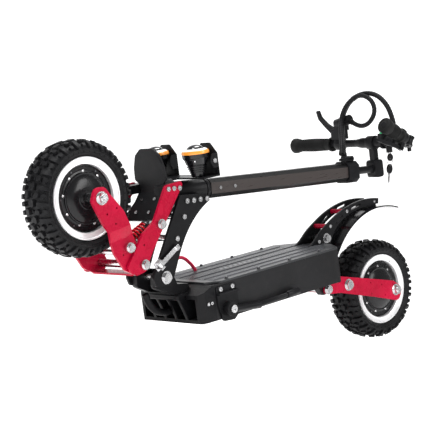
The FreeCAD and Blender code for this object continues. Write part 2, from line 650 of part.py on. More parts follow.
def front_suspension():
    """Front swing arm with its joggled plates, shafts, axle and two dampers."""
    low = ARM_IN
    high = LEG_IN
    bottom = [(664, 160), (731, 152), (726, 124, 20), (701, 80, 12), (668, 60, 14), (634, 66, 14),
              (626, 90, 14), (654, 128, 20)]
    upper = [(673, 186), (739, 178), (753, 200, 30), (778, 258, 16), (764, 288, 18), (735, 288, 18),
             (722, 268, 18), (688, 224, 30)]
    plates = []
    for side in (-1, 1):
        a0, a1 = side * low, side * (low + LEG_T)
        b0, b1 = side * high, side * (high + LEG_T)
        lower_plate = slab(bottom, *sorted((a0, a1)))
        upper_plate = slab(upper, *sorted((b0, b1)))
        ends = []
        for (p, q), (y0, y1) in (((bottom[0], bottom[1]), (a0, a1)), ((upper[0], upper[1]), (b0, b1))):
            ring = [p3(p, y0), p3(q, y0), p3(q, y1), p3(p, y1), p3(p, y0)]
            ends.append(Part.makePolygon(ring))
        step = Part.makeLoft(ends, True, True)
        plate = fuse([lower_plate, upper_plate, step])
        y0, y1 = sorted((side * (low - 1), side * (high + LEG_T + 1)))
        holes = [across(8 + RUN, ARM_PIVOT, y0, y1), across(AXLE_R, FRONT_AXLE, y0, y1),
                 across(6, SHOCK_LOW, y0, y1)]
        for hx, hz in ((738, 222), (707, 232), (716, 196), (700, 118)):
            holes.append(across(2.5, (hx, hz), y0, y1))
        plates.append(cut(plate, holes))
    tie = slab([(640, 67), (676, 66), (676, 61.5), (640, 62.5)], -low, low)
    nodes["front_arm"] = fuse(plates + [tie])

    shafts = [across(6.5, (674, 118), -low, low)]
    for side in (-1, 1):
        face = low + LEG_T
        shafts.append(across(6, SHOCK_LOW, side * (SHOCK_Y - 7), side * face))
        shafts.append(across(10, SHOCK_LOW, side * (SHOCK_Y + 7.5), side * low))
        shafts.append(across(12.5, SHOCK_LOW, side * face, side * (face + 8)))
        shafts.append(hex_bolt(SHOCK_LOW, face + 8, 10, 8, side))
    nodes["front_axle"] = group([shafts[0], fuse(shafts[1:5]), fuse(shafts[5:9]),
                                 axle(FRONT_AXLE, LEG_IN + LEG_T)])
    damper("front_damper", SHOCK_TOP, SHOCK_LOW, [SHOCK_Y, -SHOCK_Y], SPRING_R, 7, (6.0 + RUN, 6.0))


def stem():
    """Octagonal stem beam, its end clamp and the clamp's lever."""
    k, f = STEM_HALF, STEM_FLAT
    outline = [(k, -f), (k, f), (f, k), (-f, k), (-k, f), (-k, -f), (-f, -k), (f, -k)]
    inner = [(y * (k - STEM_WALL) / k, h * (k - STEM_WALL) / k) for y, h in outline]
    s0 = -76.0
    s1 = s0 - STEM_LEN
    beam = axis_prism(outline, s1, s0)
    beam = cut(beam, [axis_prism(inner, s1 - 1, s0 - 45), on_axis(STEERER_R, s0 - 37, s0 + 1)])
    screws = []
    for s in (-106, -158):
        for side in (-1, 1):
            a = along(s, side * k, 0)
            screws.append(cyl(4.5, a, a + V(0, side * 3, 0)))
    nodes["stem_beam"] = beam
    fasten("fork_bolts", screws)
    c = k + 5
    g = f + 4
    collar = axis_prism([(c, -g), (c, g), (g, c), (-g, c), (-c, g), (-c, -g), (-g, -c), (g, -c)], s1 - 20, s1 + 22)
    collar = cut(collar, [axis_prism(outline, s1, s1 + 30), on_axis(TUBE_R + RUN, s1 - 21, s1 + 1),
                          axis_box(s1 - 21, s1 + 30, 1.5, 0, c + 20)])
    lugs = axis_box(s1 - 16, s1 + 8, 13, c - 1, c + 14.5).cut(axis_box(s1 - 30, s1 + 30, 1.5, 0, c + 20))
    clamp = fuse([collar, lugs])
    rise = c + 7
    pin0, pin1 = along(s1 - 4, -17, rise), along(s1 - 4, 23, rise)
    pin = cyl(3.5, pin0, pin1)
    nodes["stem_clamp"] = fuse([clamp, pin, cyl(6, pin0, along(s1 - 4, -13, rise))])
    corners = [(-4, c + 1), (46, c + 3), (46, c + 10), (-4, rise + 6), (-4, c + 1)]
    blade = Part.Face(Part.makePolygon([along(s1 + u, 13.6, h) for u, h in corners])).extrude(V(0, 8, 0))
    eye = cyl(6, along(s1 - 4, 13.6, rise), along(s1 - 4, 21.6, rise))
    bore = cyl(3.5 + RUN, along(s1 - 4, 10, rise), along(s1 - 4, 25, rise))
    nodes["clamp_lever"] = fuse([blade, eye]).cut(bore)


def lamps():
    """Two round lamps with coloured rings and domed lenses on a bracket behind them."""
    bodies, rings, lenses = [], [], []
    z0, z1 = LAMP_Z
    for y in (LAMP_Y, -LAMP_Y):
        def point(r, z):
            return V(LAMP_X + r, y, z)

        def spin(points):
            return Part.Face(Part.makePolygon(points + [points[0]])).revolve(point(0, 0), V(0, 0, 1), 360)
        r = LAMP_R
        bodies.append(spin([point(0, z0), point(r - 9, z0), point(r - 4, z0 + 8), point(r - 4, z1 - 24),
                            point(r, z1 - 20), point(r, z1), point(0, z1)]))
        rings.append(spin([point(r - 7, z1), point(r, z1), point(r + 1, z1 + 4), point(r - 3, z1 + 9),
                           point(r - 7, z1 + 9)]))
        edge, rise = r - 7, 12.0
        ball = (edge * edge + rise * rise) / (2 * rise)
        half = math.asin(edge / ball) / 2
        a, c = point(edge, z1 + 5), point(0, z1 + 5 + rise)
        b = point(ball * math.sin(half), z1 + 5 + rise - ball * (1 - math.cos(half)))
        dome = Part.Wire([Part.Arc(a, b, c).toShape(), Part.LineSegment(c, point(0, z1)).toShape(),
                          Part.LineSegment(point(0, z1), point(r - 7, z1)).toShape(),
                          Part.LineSegment(point(r - 7, z1), a).toShape()])
        lenses.append(Part.Face(dome).revolve(point(0, 0), V(0, 0, 1), 360))
    nodes["lamp_bodies"] = group(body.fuse(ring).removeSplitter() for body, ring in zip(bodies, rings))
    nodes["lamp_lenses"] = group(lenses)
    half = LAMP_R + 1.5
    floor = LAMP_Z[0] - 5
    back = LAMP_X - half
    top = LAMP_Z[1] + 21
    span = LAMP_Y + half + 3
    cross = box(back - 3, LAMP_X + 16, -span, span, floor, floor + 4)
    tongue = box(LAMP_X + 10, LAMP_X + 60, -14, 14, floor, floor + 4).cut(nodes["fork_crown"])
    yokes = []
    for y in (-LAMP_Y, LAMP_Y):
        yokes.append(frame_slab([(y - half - 3, floor), (y - half - 3, top - 26, 4), (y - 16, top, 6),
                                 (y + 16, top, 6), (y + half + 3, top - 26, 4), (y + half + 3, floor)],
                                back - 3, back))
        for y0 in (y - half - 3, y + half):
            yokes.append(slab([(back - 3, top - 62, 5), (back - 3, top - 26, 3), (back + 16, top - 26, 9),
                               (back + 24, top - 44, 9), (back + 16, top - 62, 9)], y0, y0 + 3))
    nodes["lamp_bracket"] = fuse([cross, tongue] + yokes)
    fasten("fork_bolts", [cap_screw((back + 11, top - 44), span, 6, 4, side) for side in (-1, 1)])


# ---------------------------------------------------------------- handlebar group
def bar_at(y, r=0.0, up=0.0):
    """Point beside the handlebar at lateral place y."""
    return V(BAR[0] + r, y, BAR[1] + up)


def handlebar():
    """Telescopic tube, riser clamp, bar with its right grip, brake perch and lever."""
    s1 = -76.0 - STEM_LEN
    tube = on_axis(TUBE_R, s1 - 20 - TUBE_OUT, s1 - 20 + TUBE_IN)
    nodes["inner_tube"] = tube.cut(on_axis(TUBE_R - 2, s1, s1 + TUBE_IN))
    x, z = BAR
    post = slab([(x - 9, z), (x - 9, z - 60), (x + 9, z - 60), (x + 9, z)], -9, 9)
    knuckle = slab([(x - 16, z - 100, 9), (x - 16, z - 50, 9), (x + 18, z - 50, 9), (x + 18, z - 100, 9)], -17, 17)
    block = fuse([post, knuckle, across(20, BAR, -13, 13)])
    seat_r = BAR_R + 4
    block = cut(block, [across(seat_r, BAR, -23, 23), on_axis(TUBE_R, s1 - 20 - TUBE_OUT, s1)])
    nodes["riser_clamp"] = block
    bar = turned([(0, RIGHT_END + 4), (BAR_R, RIGHT_END + 4), (BAR_R, -60), (seat_r, -38), (seat_r, 38), (BAR_R, 60),
                  (BAR_R, LEFT_STUB), (0, LEFT_STUB)], BAR)
    nodes["handlebar"] = bar
    g0 = RIGHT_END
    g1 = RIGHT_END + RIGHT_GRIP_LEN
    nodes["grip_right"] = turned([(0, g0), (GRIP_R + 5.5, g0, 4), (GRIP_R + 5.5, g0 + 12), (GRIP_R, g0 + 32),
                                  (GRIP_R - 1, (g0 + g1) / 2), (GRIP_R, g1 - 9), (GRIP_R + 4, g1 - 5), (GRIP_R + 4, g1),
                                  (BAR_R, g1), (BAR_R, g0 + 4), (0, g0 + 4)], BAR)
    ring = across(BAR_R + 7, BAR, -134, -112).cut(across(BAR_R, BAR, -135, -111))
    arm = box(x - 12, x + 12, -146, -100, z + 14, z + 46)
    tank = cyl(14, V(x + 6, -124, z + 60), V(x + 6, -70, z + 72))
    foot = box(x - 8, x + 16, -128, -90, z + 40, z + 60)
    slot = box(x - 6, x + 6, -165, -129, z + 20, z + 60)
    pivot = V(x, -140, z + 36)
    pin = cyl(2.5, pivot - V(12, 0, 0), pivot + V(12, 0, 0))
    body = fuse([ring, arm.cut(across(BAR_R + 2, BAR, -160, -90)), tank, foot])
    nodes["perch_right"] = fuse([body.cut(slot), pin])
    nodes["brake_lever_right"] = brake_blade(pivot)


def brake_blade(pivot):
    """Brake lever from its pivot, out along -Y and forward, with a round end."""
    y0, z0 = pivot.y, pivot.z
    points = [(y0 + 7, z0 - 5, 3), (y0 + 8, z0 + 6, 3), (y0 - 26, z0 + 27, 14), (y0 - 46, z0 + 46, 14),
              (y0 - 54, z0 + 67, 3), (y0 - 62, z0 + 64, 3), (y0 - 56, z0 + 40, 14), (y0 - 32, z0 + 15, 14),
              (y0 - 10, z0 - 5, 8)]
    blade = frame_slab(points, pivot.x - 5, pivot.x + 5)
    return blade.cut(cyl(2.5 + RUN, pivot - V(9, 0, 0), pivot + V(9, 0, 0)))


def left_frame():
    """Hinge point of the folded left grip, its direction and its hinge's axis."""
    a = math.radians(LEFT_GRIP_RISE)
    return V(BAR[0], LEFT_HINGE_Y, BAR[1]), V(math.cos(a), 0, math.sin(a)), V(-math.sin(a), 0, math.cos(a))


def left_side():
    """Folding left end: clevis, folded bar with its grip, brake perch and lever."""
    o, d, n = left_frame()

    def block(u0, u1, y0, y1, w0, w1):
        ring = [o + d * u + n * w0 + V(0, y, 0) for u, y in ((u0, y0), (u1, y0), (u1, y1), (u0, y1), (u0, y0))]
        return Part.Face(Part.makePolygon(ring)).extrude(n * (w1 - w0))

    reach = LEFT_HINGE_Y - LEFT_STUB
    socket = across(BAR_R + 6, BAR, LEFT_STUB - 14, LEFT_STUB + 4).cut(across(BAR_R, BAR, LEFT_STUB - 40, LEFT_STUB))
    ears = []
    for w0, w1 in ((9, 14), (-14, -9)):
        ears.append(block(-14, 14, -reach + 3, 0, w0, w1))
        ears.append(cyl(14, o + n * w0, o + n * w1))
    web = block(-14, 14, -reach + 3, -reach + 6, -14, 14)
    pin = cyl(4, o - n * 17, o + n * 17)
    nodes["fold_socket"] = fuse([socket, web, pin] + ears)
    eye = cyl(12, o - n * 8.5, o + n * 8.5)
    neck = cyl(8, o + d * 6, o + d * 18)
    bar = cyl(BAR_R, o + d * 17, o + d * (LEFT_GRIP_LEN + 30))
    perch = cyl(BAR_R + 6, o + d * 19, o + d * 33)
    arm = block(19, 33, -6, 6, -38, -12)
    pivot = o + d * 26 - n * 33
    pin = cyl(2.5, pivot - V(0, 11, 0), pivot + V(0, 11, 0))
    arm = arm.cut(block(10, 40, -3.5, 3.5, -45, -22))
    folded = fuse([eye, neck, bar, perch, arm, pin])
    nodes["folded_bar"] = folded.cut(cyl(4 + RUN, o - n * 20, o + n * 20))
    grip = cyl(GRIP_R + 2, o + d * 36, o + d * (LEFT_GRIP_LEN + 30))
    grip = grip.fuse(cyl(GRIP_R + 5, o + d * (LEFT_GRIP_LEN + 25), o + d * (LEFT_GRIP_LEN + 33)))
    nodes["grip_left"] = grip.cut(cyl(BAR_R, o + d * 17, o + d * (LEFT_GRIP_LEN + 30)))
    outline = [(-6, -5, 3), (-6, 5, 3), (20, 4, 20), (60, -4, 30), (100, -10, 4), (100, -20, 4), (56, -14, 30),
               (20, -7, 20)]
    ring = []
    for u, w, r in outline:
        ring.append((pivot + d * u + n * w - V(0, 3, 0), r))
    blade = Part.Face(rounded(ring)).extrude(V(0, 6, 0))
    nodes["brake_lever_left"] = blade.cut(cyl(2.5 + RUN, pivot - V(0, 9, 0), pivot + V(0, 9, 0)))


def pods():
    """Display with the throttle under it, switch block with two buttons, lock and keys."""
    x, z = BAR
    dx, dy = x - 40, 78.0
    clamp_ring = across(BAR_R + 5, BAR, dy - 10, dy + 10)
    foot = box(x - 30, x, dy - 8, dy + 8, z - 8, z + 8)
    case = cyl(20, V(dx + 14, dy, z), V(dx - 8, dy, z))
    pivot = V(dx + 2, dy + 19, z - 6)
    hub = cyl(5, pivot, pivot + V(0, 10, 0))
    display = fuse([clamp_ring, foot, case, hub]).cut(across(BAR_R, BAR, dy - 12, dy + 12))
    paddle = fuse([cyl(9, pivot + V(0, 1.5, 0), pivot + V(0, 8.5, 0)),
                   box(dx - 3, dx + 7, dy + 20.5, dy + 27.5, z - 34, z - 6)])
    nodes["throttle"] = paddle.cut(cyl(5 + RUN, pivot, pivot + V(0, 12, 0)))

    block = fuse([across(BAR_R + 8, BAR, 39, 47), box(x - 14, x + 16, 36, 50, z + 8, z + 26)])
    wells = []
    for name, bx in (("button_red", x - 7), ("button_green", x + 9)):
        wells.append(cyl(4 + RUN, V(bx, 43, z + 19), V(bx, 43, z + 30)))
        nodes[name] = cyl(4, V(bx, 43, z + 22), V(bx, 43, z + 30))
    switches = cut(block, wells)

    # ignition lock under the bar, its key, and the spare that hangs from the ring
    low = V(x, 60, z - 30)
    holder = fuse([across(BAR_R + 5, BAR, 54, 66), cyl(9, V(x, 60, z), low)])
    holder = cut(holder, [across(BAR_R, BAR, 50, 70), cyl(4.5, low, low + V(0, 0, 12))])
    nodes["left_pods"] = group(pod.cut(nodes["handlebar"]) for pod in (display, switches, holder))
    key = fuse([cyl(4.5 - TOUCH, low + V(0, 0, 10), low - V(0, 0, 4)),
                box(x - 9, x + 9, 58, 62, z - 54, z - 34)])
    hole = V(x, 60, z - 49)
    nodes["ignition_key"] = key.cut(cyl(3.5, hole - V(0, 5, 0), hole + V(0, 5, 0)))
    t = tip_angle()
    down = V(math.sin(t), 0, -math.cos(t))
    side = V(math.cos(t), 0, math.sin(t))
    ring_r = 9.0
    ring = Part.makeTorus(ring_r, 1.0, hole + down * ring_r, side)
    bow = hole + down * (2 * ring_r)

    def flat(u0, u1, w0, w1, thick):
        pts = [bow + side * u + down * w - V(0, thick / 2, 0) for u, w in ((u0, w0), (u1, w0), (u1, w1), (u0, w1))]
        return Part.Face(rounded([(p, 3.0) for p in pts])).extrude(V(0, thick, 0))

    head = flat(-11, 11, -4, 24, 5).cut(cyl(2.5, bow - V(0, 5, 0), bow + V(0, 5, 0)))
    stem = Part.Face(Part.makePolygon([bow + side * u + down * w - V(0, 1, 0) for u, w in
                                       ((-3.5, 20), (3.5, 20), (3.5, 52), (-3.5, 52), (-3.5, 20))])).extrude(V(0, 2, 0))
    nodes["hanging_key"] = group([ring, fuse([head, stem])])


def stand():
    """Kickstand bracket on the tub's left side, its leg and rubber foot."""
    y0 = DECK_HALF_W
    plate = slab([(388, -30, 4), (388, -88, 8), (408, -103, 8), (446, -100, 8), (458, -60, 6), (458, -30, 4)],
                 y0, y0 + 5)
    flange = box(388, 458, y0, y0 + 14, -33, -28)
    tab = slab([(390, -12, 5), (390, -33), (458, -33), (458, -12, 5)], y0, y0 + 4)
    pin = cyl(7, V(425, y0 + 5, -72), V(425, y0 + 23, -72))
    cap = cap_screw((425, -72), y0 + 23, 10, 4)
    nodes["stand_bracket"] = fuse([plate, flange, tab, pin])
    fasten("deck_bolts", [cap, cap_screw((404, -19), y0 + 4, 6, 3), cap_screw((445, -19), y0 + 4, 6, 3)])
    mid = y0 + 14
    hub = cyl(18, V(425, y0 + 5 + GAP, -72), V(425, y0 + 22.5, -72))
    arm = cyl(9, V(420, mid, -74), V(326, mid, -84))
    thin = cyl(6.5, V(328, mid, -84), V(214, mid, -80))
    leg = fuse([hub, arm, thin])
    foot = cyl(9, V(226, mid, -80.4), V(182, mid, -78.9))
    nodes["stand_leg"] = fuse([leg, foot]).cut(cyl(7 + RUN, V(425, y0, -72), V(425, y0 + 30, -72)))


def cords():
    """Cables held by the object: two looms at the bar, the motor sleeve and the red cable."""
    x, z = BAR
    loom = [(x - 10, 79, z + 22), (x - 6, 82, z + 50), (x - 3, 78, z + 80), (x - 2, 66, z + 109),
            (x - 2, 37, z + 136), (x - 2, -4, z + 145), (x - 2, -48, z + 136), (x, -80, z + 113),
            (x + 8, -96, z + 81), (x + 25, -86, z + 53), (x + 48, -69, z + 24), (x + 74, -48, z - 2),
            (x + 96, -28, z - 24)]
    back = [(x + 7, -67, z + 66), (x + 11, -40, z + 52), (x + 13, -9, z + 51), (x + 14, 16, z + 64),
            (x + 14, 33, z + 86), (x + 14, 34, z + 111), (x + 14, 18, z + 131), (x + 14, -10, z + 141),
            (x + 16, -41, z + 133), (x + 20, -68, z + 112), (x + 27, -82, z + 84), (x + 40, -78, z + 57),
            (x + 60, -63, z + 29), (x + 84, -44, z + 2), (x + 102, -32, z - 18)]
    nodes["bar_looms"] = group([tube_path([V(*p) for p in loom], 7.0, "loom_left"),
                                tube_path([V(*p) for p in back], 6.5, "loom_right")])
    sleeve = [(492, 0, -66), (528, 0, -66), (558, 2, -56), (579, 4, -32), (586, 4, -6)]
    nodes["motor_sleeve"] = tube_path([V(*p) for p in sleeve], 9.0, "motor_sleeve")
    red = [(474, -26, 6), (462, -32, 34), (430, -42, 54), (394, -54, 46), (362, -64, 20), (350, -66, 2.9)]
    nodes["red_cable"] = tube_path([V(*p) for p in red], 4.5, "red_cable")


# ---------------------------------------------------------------- set down and export
def tip_angle():
    """Angle about +Y that stands the rear tyre and the nose's lower edge on one floor."""
    dx, dz = NOSE_X - REAR_AXLE[0], DECK_Z - REAR_AXLE[1]
    return math.atan2(dz, dx) + math.asin(TYRE_R / math.hypot(dx, dz))


def main():
    deck()
    rear_mudguard()
    rear_suspension()
    wheel("rear", REAR_AXLE)
    neck()
    latch()
    fork()
    front_suspension()
    wheel("front", FRONT_AXLE)
    stem()
    lamps()
    handlebar()
    left_side()
    pods()
    stand()
    cords()

    for name, shapes in fasteners.items():
        nodes[name] = group(shapes)
    tip = tip_angle()
    turn = FreeCAD.Placement(V(0, 0, 0), FreeCAD.Rotation(Y_AXIS, math.degrees(tip)))
    placed = {}
    box_all = FreeCAD.BoundBox()
    for name, shape in nodes.items():
        moved = shape.copy()
        moved.Placement = turn.multiply(moved.Placement)
        placed[name] = moved
        box_all.add(moved.optimalBoundingBox(False))
    shift = V(-box_all.Center.x, -box_all.Center.y, -box_all.ZMin)
    os.makedirs("parts", exist_ok=True)
    for name, shape in placed.items():
        shape.translate(shift)
        shape.exportStep("parts/" + name + ".step")
    print("tip %.4f deg, shift %.3f %.3f %.3f, %d nodes" % (
        math.degrees(tip), shift.x, shift.y, shift.z, len(nodes)))


main()
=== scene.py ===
"""Looks of the folding electric kick scooter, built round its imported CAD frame.

Points are given in the deck's frame, in millimetres: x forward along the deck, y to the
left, z up from the deck's top.  Shape.piece() sets them down in the frame's own metres.
"""

import json
import math

import bmesh
import bpy
from mathutils import Matrix, Vector


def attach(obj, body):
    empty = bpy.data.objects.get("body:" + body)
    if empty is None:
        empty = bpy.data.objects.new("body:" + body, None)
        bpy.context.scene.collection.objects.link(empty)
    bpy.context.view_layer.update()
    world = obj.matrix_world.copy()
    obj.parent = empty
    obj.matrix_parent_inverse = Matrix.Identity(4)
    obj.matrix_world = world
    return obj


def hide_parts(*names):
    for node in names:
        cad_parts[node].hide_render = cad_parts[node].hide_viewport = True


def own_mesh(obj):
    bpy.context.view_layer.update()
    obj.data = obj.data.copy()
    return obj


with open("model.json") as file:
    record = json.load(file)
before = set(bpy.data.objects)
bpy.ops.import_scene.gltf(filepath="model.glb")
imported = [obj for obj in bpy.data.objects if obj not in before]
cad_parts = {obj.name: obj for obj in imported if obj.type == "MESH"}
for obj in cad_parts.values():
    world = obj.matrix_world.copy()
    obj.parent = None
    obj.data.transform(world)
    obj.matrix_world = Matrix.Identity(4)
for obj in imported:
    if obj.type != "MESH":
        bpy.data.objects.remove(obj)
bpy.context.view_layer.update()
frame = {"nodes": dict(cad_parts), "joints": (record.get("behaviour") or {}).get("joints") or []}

JOINTS = {joint["name"]: joint for joint in frame["joints"]}
NODES = frame["nodes"]
Y = Vector((0, 1, 0))

# the deck's frame, from the key's axis and the rear axle
REAR_AXLE = (-252.3, -172.4)
FRONT_AXLE = (748.5, 262.2)
BAR = Vector((-330, 0, 240))
LAMP_X, LAMP_Y, LAMP_FOOT_Z = 425, 76, 262
RIGHT_GRIP_END_Y, RIGHT_GRIP_LEN = -310.5, 158.5
LEFT_HINGE_Y, LEFT_GRIP_RISE = 134, 31.0
LEFT_GRIP_END, LEFT_GRIP_LEN = 117, 81
_UP = Vector(JOINTS["key_turn"]["axis"])
_FORWARD = Vector((_UP.z, 0, -_UP.x))
_HUB = Vector(JOINTS["rear_wheel_spin"]["pos_m"])
_TURN = Matrix((_FORWARD, Y, _UP)).transposed()
_ORIGIN = _HUB - _TURN @ Vector((REAR_AXLE[0], 0, REAR_AXLE[1])) / 1000
TIP = math.atan2(_UP.x, _UP.z)


def at(point):
    """A point of the deck's frame, in millimetres, as metres in the row's frame."""
    return _ORIGIN + _TURN @ Vector(point) / 1000


# ------------------------------------------------------------------ materials
def node(tree, kind, **inputs):
    """A shader node with the named inputs set."""
    made = tree.nodes.new("ShaderNode" + kind)
    for name, value in inputs.items():
        made.inputs[name.replace("_", " ")].default_value = value
    return made


def mixed(tree, factor, under, over):
    """Colour that runs from under to over; under may be a socket or a colour."""
    mix = node(tree, "Mix")
    mix.data_type = "RGBA"
    if isinstance(under, bpy.types.NodeSocket):
        tree.links.new(under, mix.inputs[6])
    else:
        mix.inputs[6].default_value = (*under, 1)
    mix.inputs[7].default_value = (*over, 1)
    tree.links.new(factor, mix.inputs[0])
    return mix.outputs[2]


def noise(tree, vector, low, high, most=1.0, **inputs):
    """Noise between two levels, spread from 0 to most."""
    clouds = node(tree, "TexNoise", **inputs)
    tree.links.new(vector, clouds.inputs["Vector"])
    spread = node(tree, "MapRange")
    spread.inputs["From Min"].default_value = low
    spread.inputs["From Max"].default_value = high
    spread.inputs["To Max"].default_value = most
    tree.links.new(clouds.outputs["Fac"], spread.inputs["Value"])
    return spread.outputs["Result"]


def far_out(tree, vector, reach, width):
    """1 on faces further than reach from the deck's middle plane, 0 on the rest."""
    parts = node(tree, "SeparateXYZ")
    tree.links.new(vector, parts.inputs["Vector"])
    shift = node(tree, "Math")
    shift.operation = "SUBTRACT"
    tree.links.new(parts.outputs["Y"], shift.inputs[0])
    shift.inputs[1].default_value = at((0, 0, 0)).y
    size = node(tree, "Math")
    size.operation = "ABSOLUTE"
    tree.links.new(shift.outputs[0], size.inputs[0])
    gate = node(tree, "MapRange")
    gate.inputs["From Min"].default_value = reach - width
    gate.inputs["From Max"].default_value = reach
    tree.links.new(size.outputs[0], gate.inputs["Value"])
    return gate.outputs["Result"]


def material(name, base, rough, metal=0.0, vary=0.15, blotch=14.0, grain=0.1, fine=1500.0, rough_vary=0.08,
             brushed=None, coat=0.0, specular=0.5, second=None, side_band=None, dust=None):
    """A procedural finish: soft blotches of colour, uneven gloss and a fine grain.

    brushed stretches the grain along the deck frame's axes, second is a colour that the
    blotches run to, side_band is a colour on faces far out to the sides, dust a pale film.
    """
    made = bpy.data.materials.new(name)
    made.use_nodes = True
    tree = made.node_tree
    link = tree.links.new
    shader = tree.nodes["Principled BSDF"]
    shader.inputs["Metallic"].default_value = metal
    shader.inputs["Specular IOR Level"].default_value = specular
    shader.inputs["Coat Weight"].default_value = coat
    shader.inputs["Coat Roughness"].default_value = 0.12
    place = node(tree, "TexCoord").outputs["Object"]
    turned = node(tree, "Mapping")
    turned.vector_type = "TEXTURE"
    turned.inputs["Rotation"].default_value = (0, TIP, 0)
    link(place, turned.inputs["Vector"])
    turned = turned.outputs["Vector"]

    low = [c * (1 - vary) for c in base]
    high = [min(1.0, c * (1 + vary)) for c in base] if second is None else second
    blotches = noise(tree, turned, 0.32, 0.68, Scale=blotch, Detail=6.0, Roughness=0.6)
    colour = mixed(tree, blotches, low, high)
    if side_band is not None:
        band_colour, reach, width = side_band
        colour = mixed(tree, far_out(tree, place, reach, width), colour, band_colour)
    if dust is not None:
        dust_colour, most = dust
        film = noise(tree, turned, 0.5, 0.8, most, Scale=45.0, Detail=8.0, Roughness=0.75)
        colour = mixed(tree, film, colour, dust_colour)
    link(colour, shader.inputs["Base Color"])

    stretch = node(tree, "Mapping")
    stretch.inputs["Scale"].default_value = brushed or (1, 1, 1)
    link(turned, stretch.inputs["Vector"])
    smear = node(tree, "TexNoise", Scale=60.0 if brushed is None else 400.0, Detail=5.0)
    link(stretch.outputs["Vector"], smear.inputs["Vector"])
    gloss = node(tree, "MapRange")
    gloss.inputs["To Min"].default_value = max(0.02, rough - rough_vary)
    gloss.inputs["To Max"].default_value = rough + rough_vary
    link(smear.outputs["Fac"], gloss.inputs["Value"])
    link(gloss.outputs["Result"], shader.inputs["Roughness"])
    if grain:
        dots = node(tree, "TexNoise", Scale=fine, Detail=3.0)
        link(stretch.outputs["Vector"], dots.inputs["Vector"])
        bump = node(tree, "Bump", Strength=grain, Distance=0.0004)
        link(dots.outputs["Fac"], bump.inputs["Height"])
        link(bump.outputs["Normal"], shader.inputs["Normal"])
    return made


ALONG = (0.04, 1, 1)
black_metal = material("black_metal", (0.008, 0.008, 0.009), 0.34, grain=0.2, fine=2200, vary=0.25,
                       specular=0.12)
cast_black = material("cast_black", (0.006, 0.006, 0.007), 0.33, grain=0.32, fine=900, vary=0.3,
                      specular=0.14)
tub_black = material("tub_black", (0.011, 0.011, 0.012), 0.38, grain=0.15, vary=0.25, blotch=7, specular=0.16,
                     dust=((0.06, 0.05, 0.045), 0.14))
gloss_black = material("gloss_black", (0.005, 0.005, 0.006), 0.16, grain=0.03, coat=0.35, vary=0.2,
                       specular=0.2)
satin_plastic = material("satin_plastic", (0.009, 0.009, 0.010), 0.42, grain=0.4, fine=1800, specular=0.12)
pod_grey = material("pod_grey", (0.045, 0.06, 0.066), 0.25, grain=0.05, coat=0.2, specular=0.35)
rubber = material("rubber", (0.009, 0.009, 0.009), 0.6, grain=0.5, fine=2600, vary=0.3, specular=0.12)
tyre_rubber = material("tyre_rubber", (0.008, 0.008, 0.009), 0.45, grain=0.6, fine=1100, vary=0.35, blotch=30,
                       rough_vary=0.12, dust=((0.03, 0.028, 0.026), 0.3), specular=0.14)
gloss_motor = material("gloss_motor", (0.007, 0.007, 0.008), 0.25, grain=0.12, vary=0.2, coat=0.1,
                       specular=0.2)
red_metal = material("red_metal", (0.38, 0.002, 0.024), 0.28, 0.1, grain=0.1, fine=2500, vary=0.12, blotch=9,
                     second=(0.46, 0.003, 0.034), coat=0.06, specular=0.14)
red_gloss = material("red_gloss", (0.46, 0.003, 0.012), 0.2, grain=0.04, coat=0.3, specular=0.2)
red_sleeve = material("red_sleeve", (0.62, 0.01, 0.06), 0.5, grain=0.9, fine=700, vary=0.3, blotch=160)
steel = material("steel", (0.66, 0.66, 0.67), 0.22, 1.0, grain=0.12, fine=1800, vary=0.14, blotch=60,
                 dust=((0.24, 0.22, 0.19), 0.35))
dark_steel = material("dark_steel", (0.09, 0.09, 0.095), 0.3, 0.9, grain=0.12, vary=0.2)
rim_silver = material("rim_silver", (0.86, 0.86, 0.87), 0.3, 0.35, grain=0.05, vary=0.05, blotch=20)
deck_grey = material("deck_grey", (0.030, 0.031, 0.034), 0.36, 0.3, grain=0.25, brushed=ALONG, vary=0.2,
                     blotch=8)
# the plate's brushed grey, made lighter on the raised ridges as a painted highlight
ridge_grey_highlit = material("ridge_grey_highlit", (0.07, 0.072, 0.08), 0.32, 0.4, grain=0.2, brushed=ALONG, vary=0.16,
                      blotch=8)
stem_metal = material("stem_metal", (0.009, 0.009, 0.009), 0.3, 0.1, grain=0.16, brushed=ALONG, vary=0.2,
                      side_band=((0.042, 0.034, 0.032), 0.0248, 0.0006))
pale_mark = material("pale_mark", (0.42, 0.43, 0.45), 0.5, grain=0.1)
orange = material("orange", (0.85, 0.30, 0.03), 0.3, grain=0.03, coat=0.3)
white_ring = material("white_ring", (0.86, 0.86, 0.84), 0.35, grain=0.03, coat=0.2)
lens_black = material("lens_black", (0.006, 0.007, 0.009), 0.05, grain=0.0, coat=1.0, rough_vary=0.02)
button_red = material("button_red", (0.75, 0.015, 0.015), 0.25, grain=0.02, coat=0.4)
button_green = material("button_green", (0.01, 0.42, 0.14), 0.25, grain=0.02, coat=0.4)
cell_black = material("cell_black", (0.03, 0.03, 0.035), 0.5)


# ------------------------------------------------------------------ shapes
def broken_edges(made, width, from_angle):
    """Small bevels, width in millimetres, on edges sharper than from_angle in degrees."""
    edge = made.modifiers.new("edges", "BEVEL")
    edge.width = width / 1000
    edge.segments = 2
    edge.limit_method = "ANGLE"
    edge.angle_limit = math.radians(from_angle)
    edge.harden_normals = True


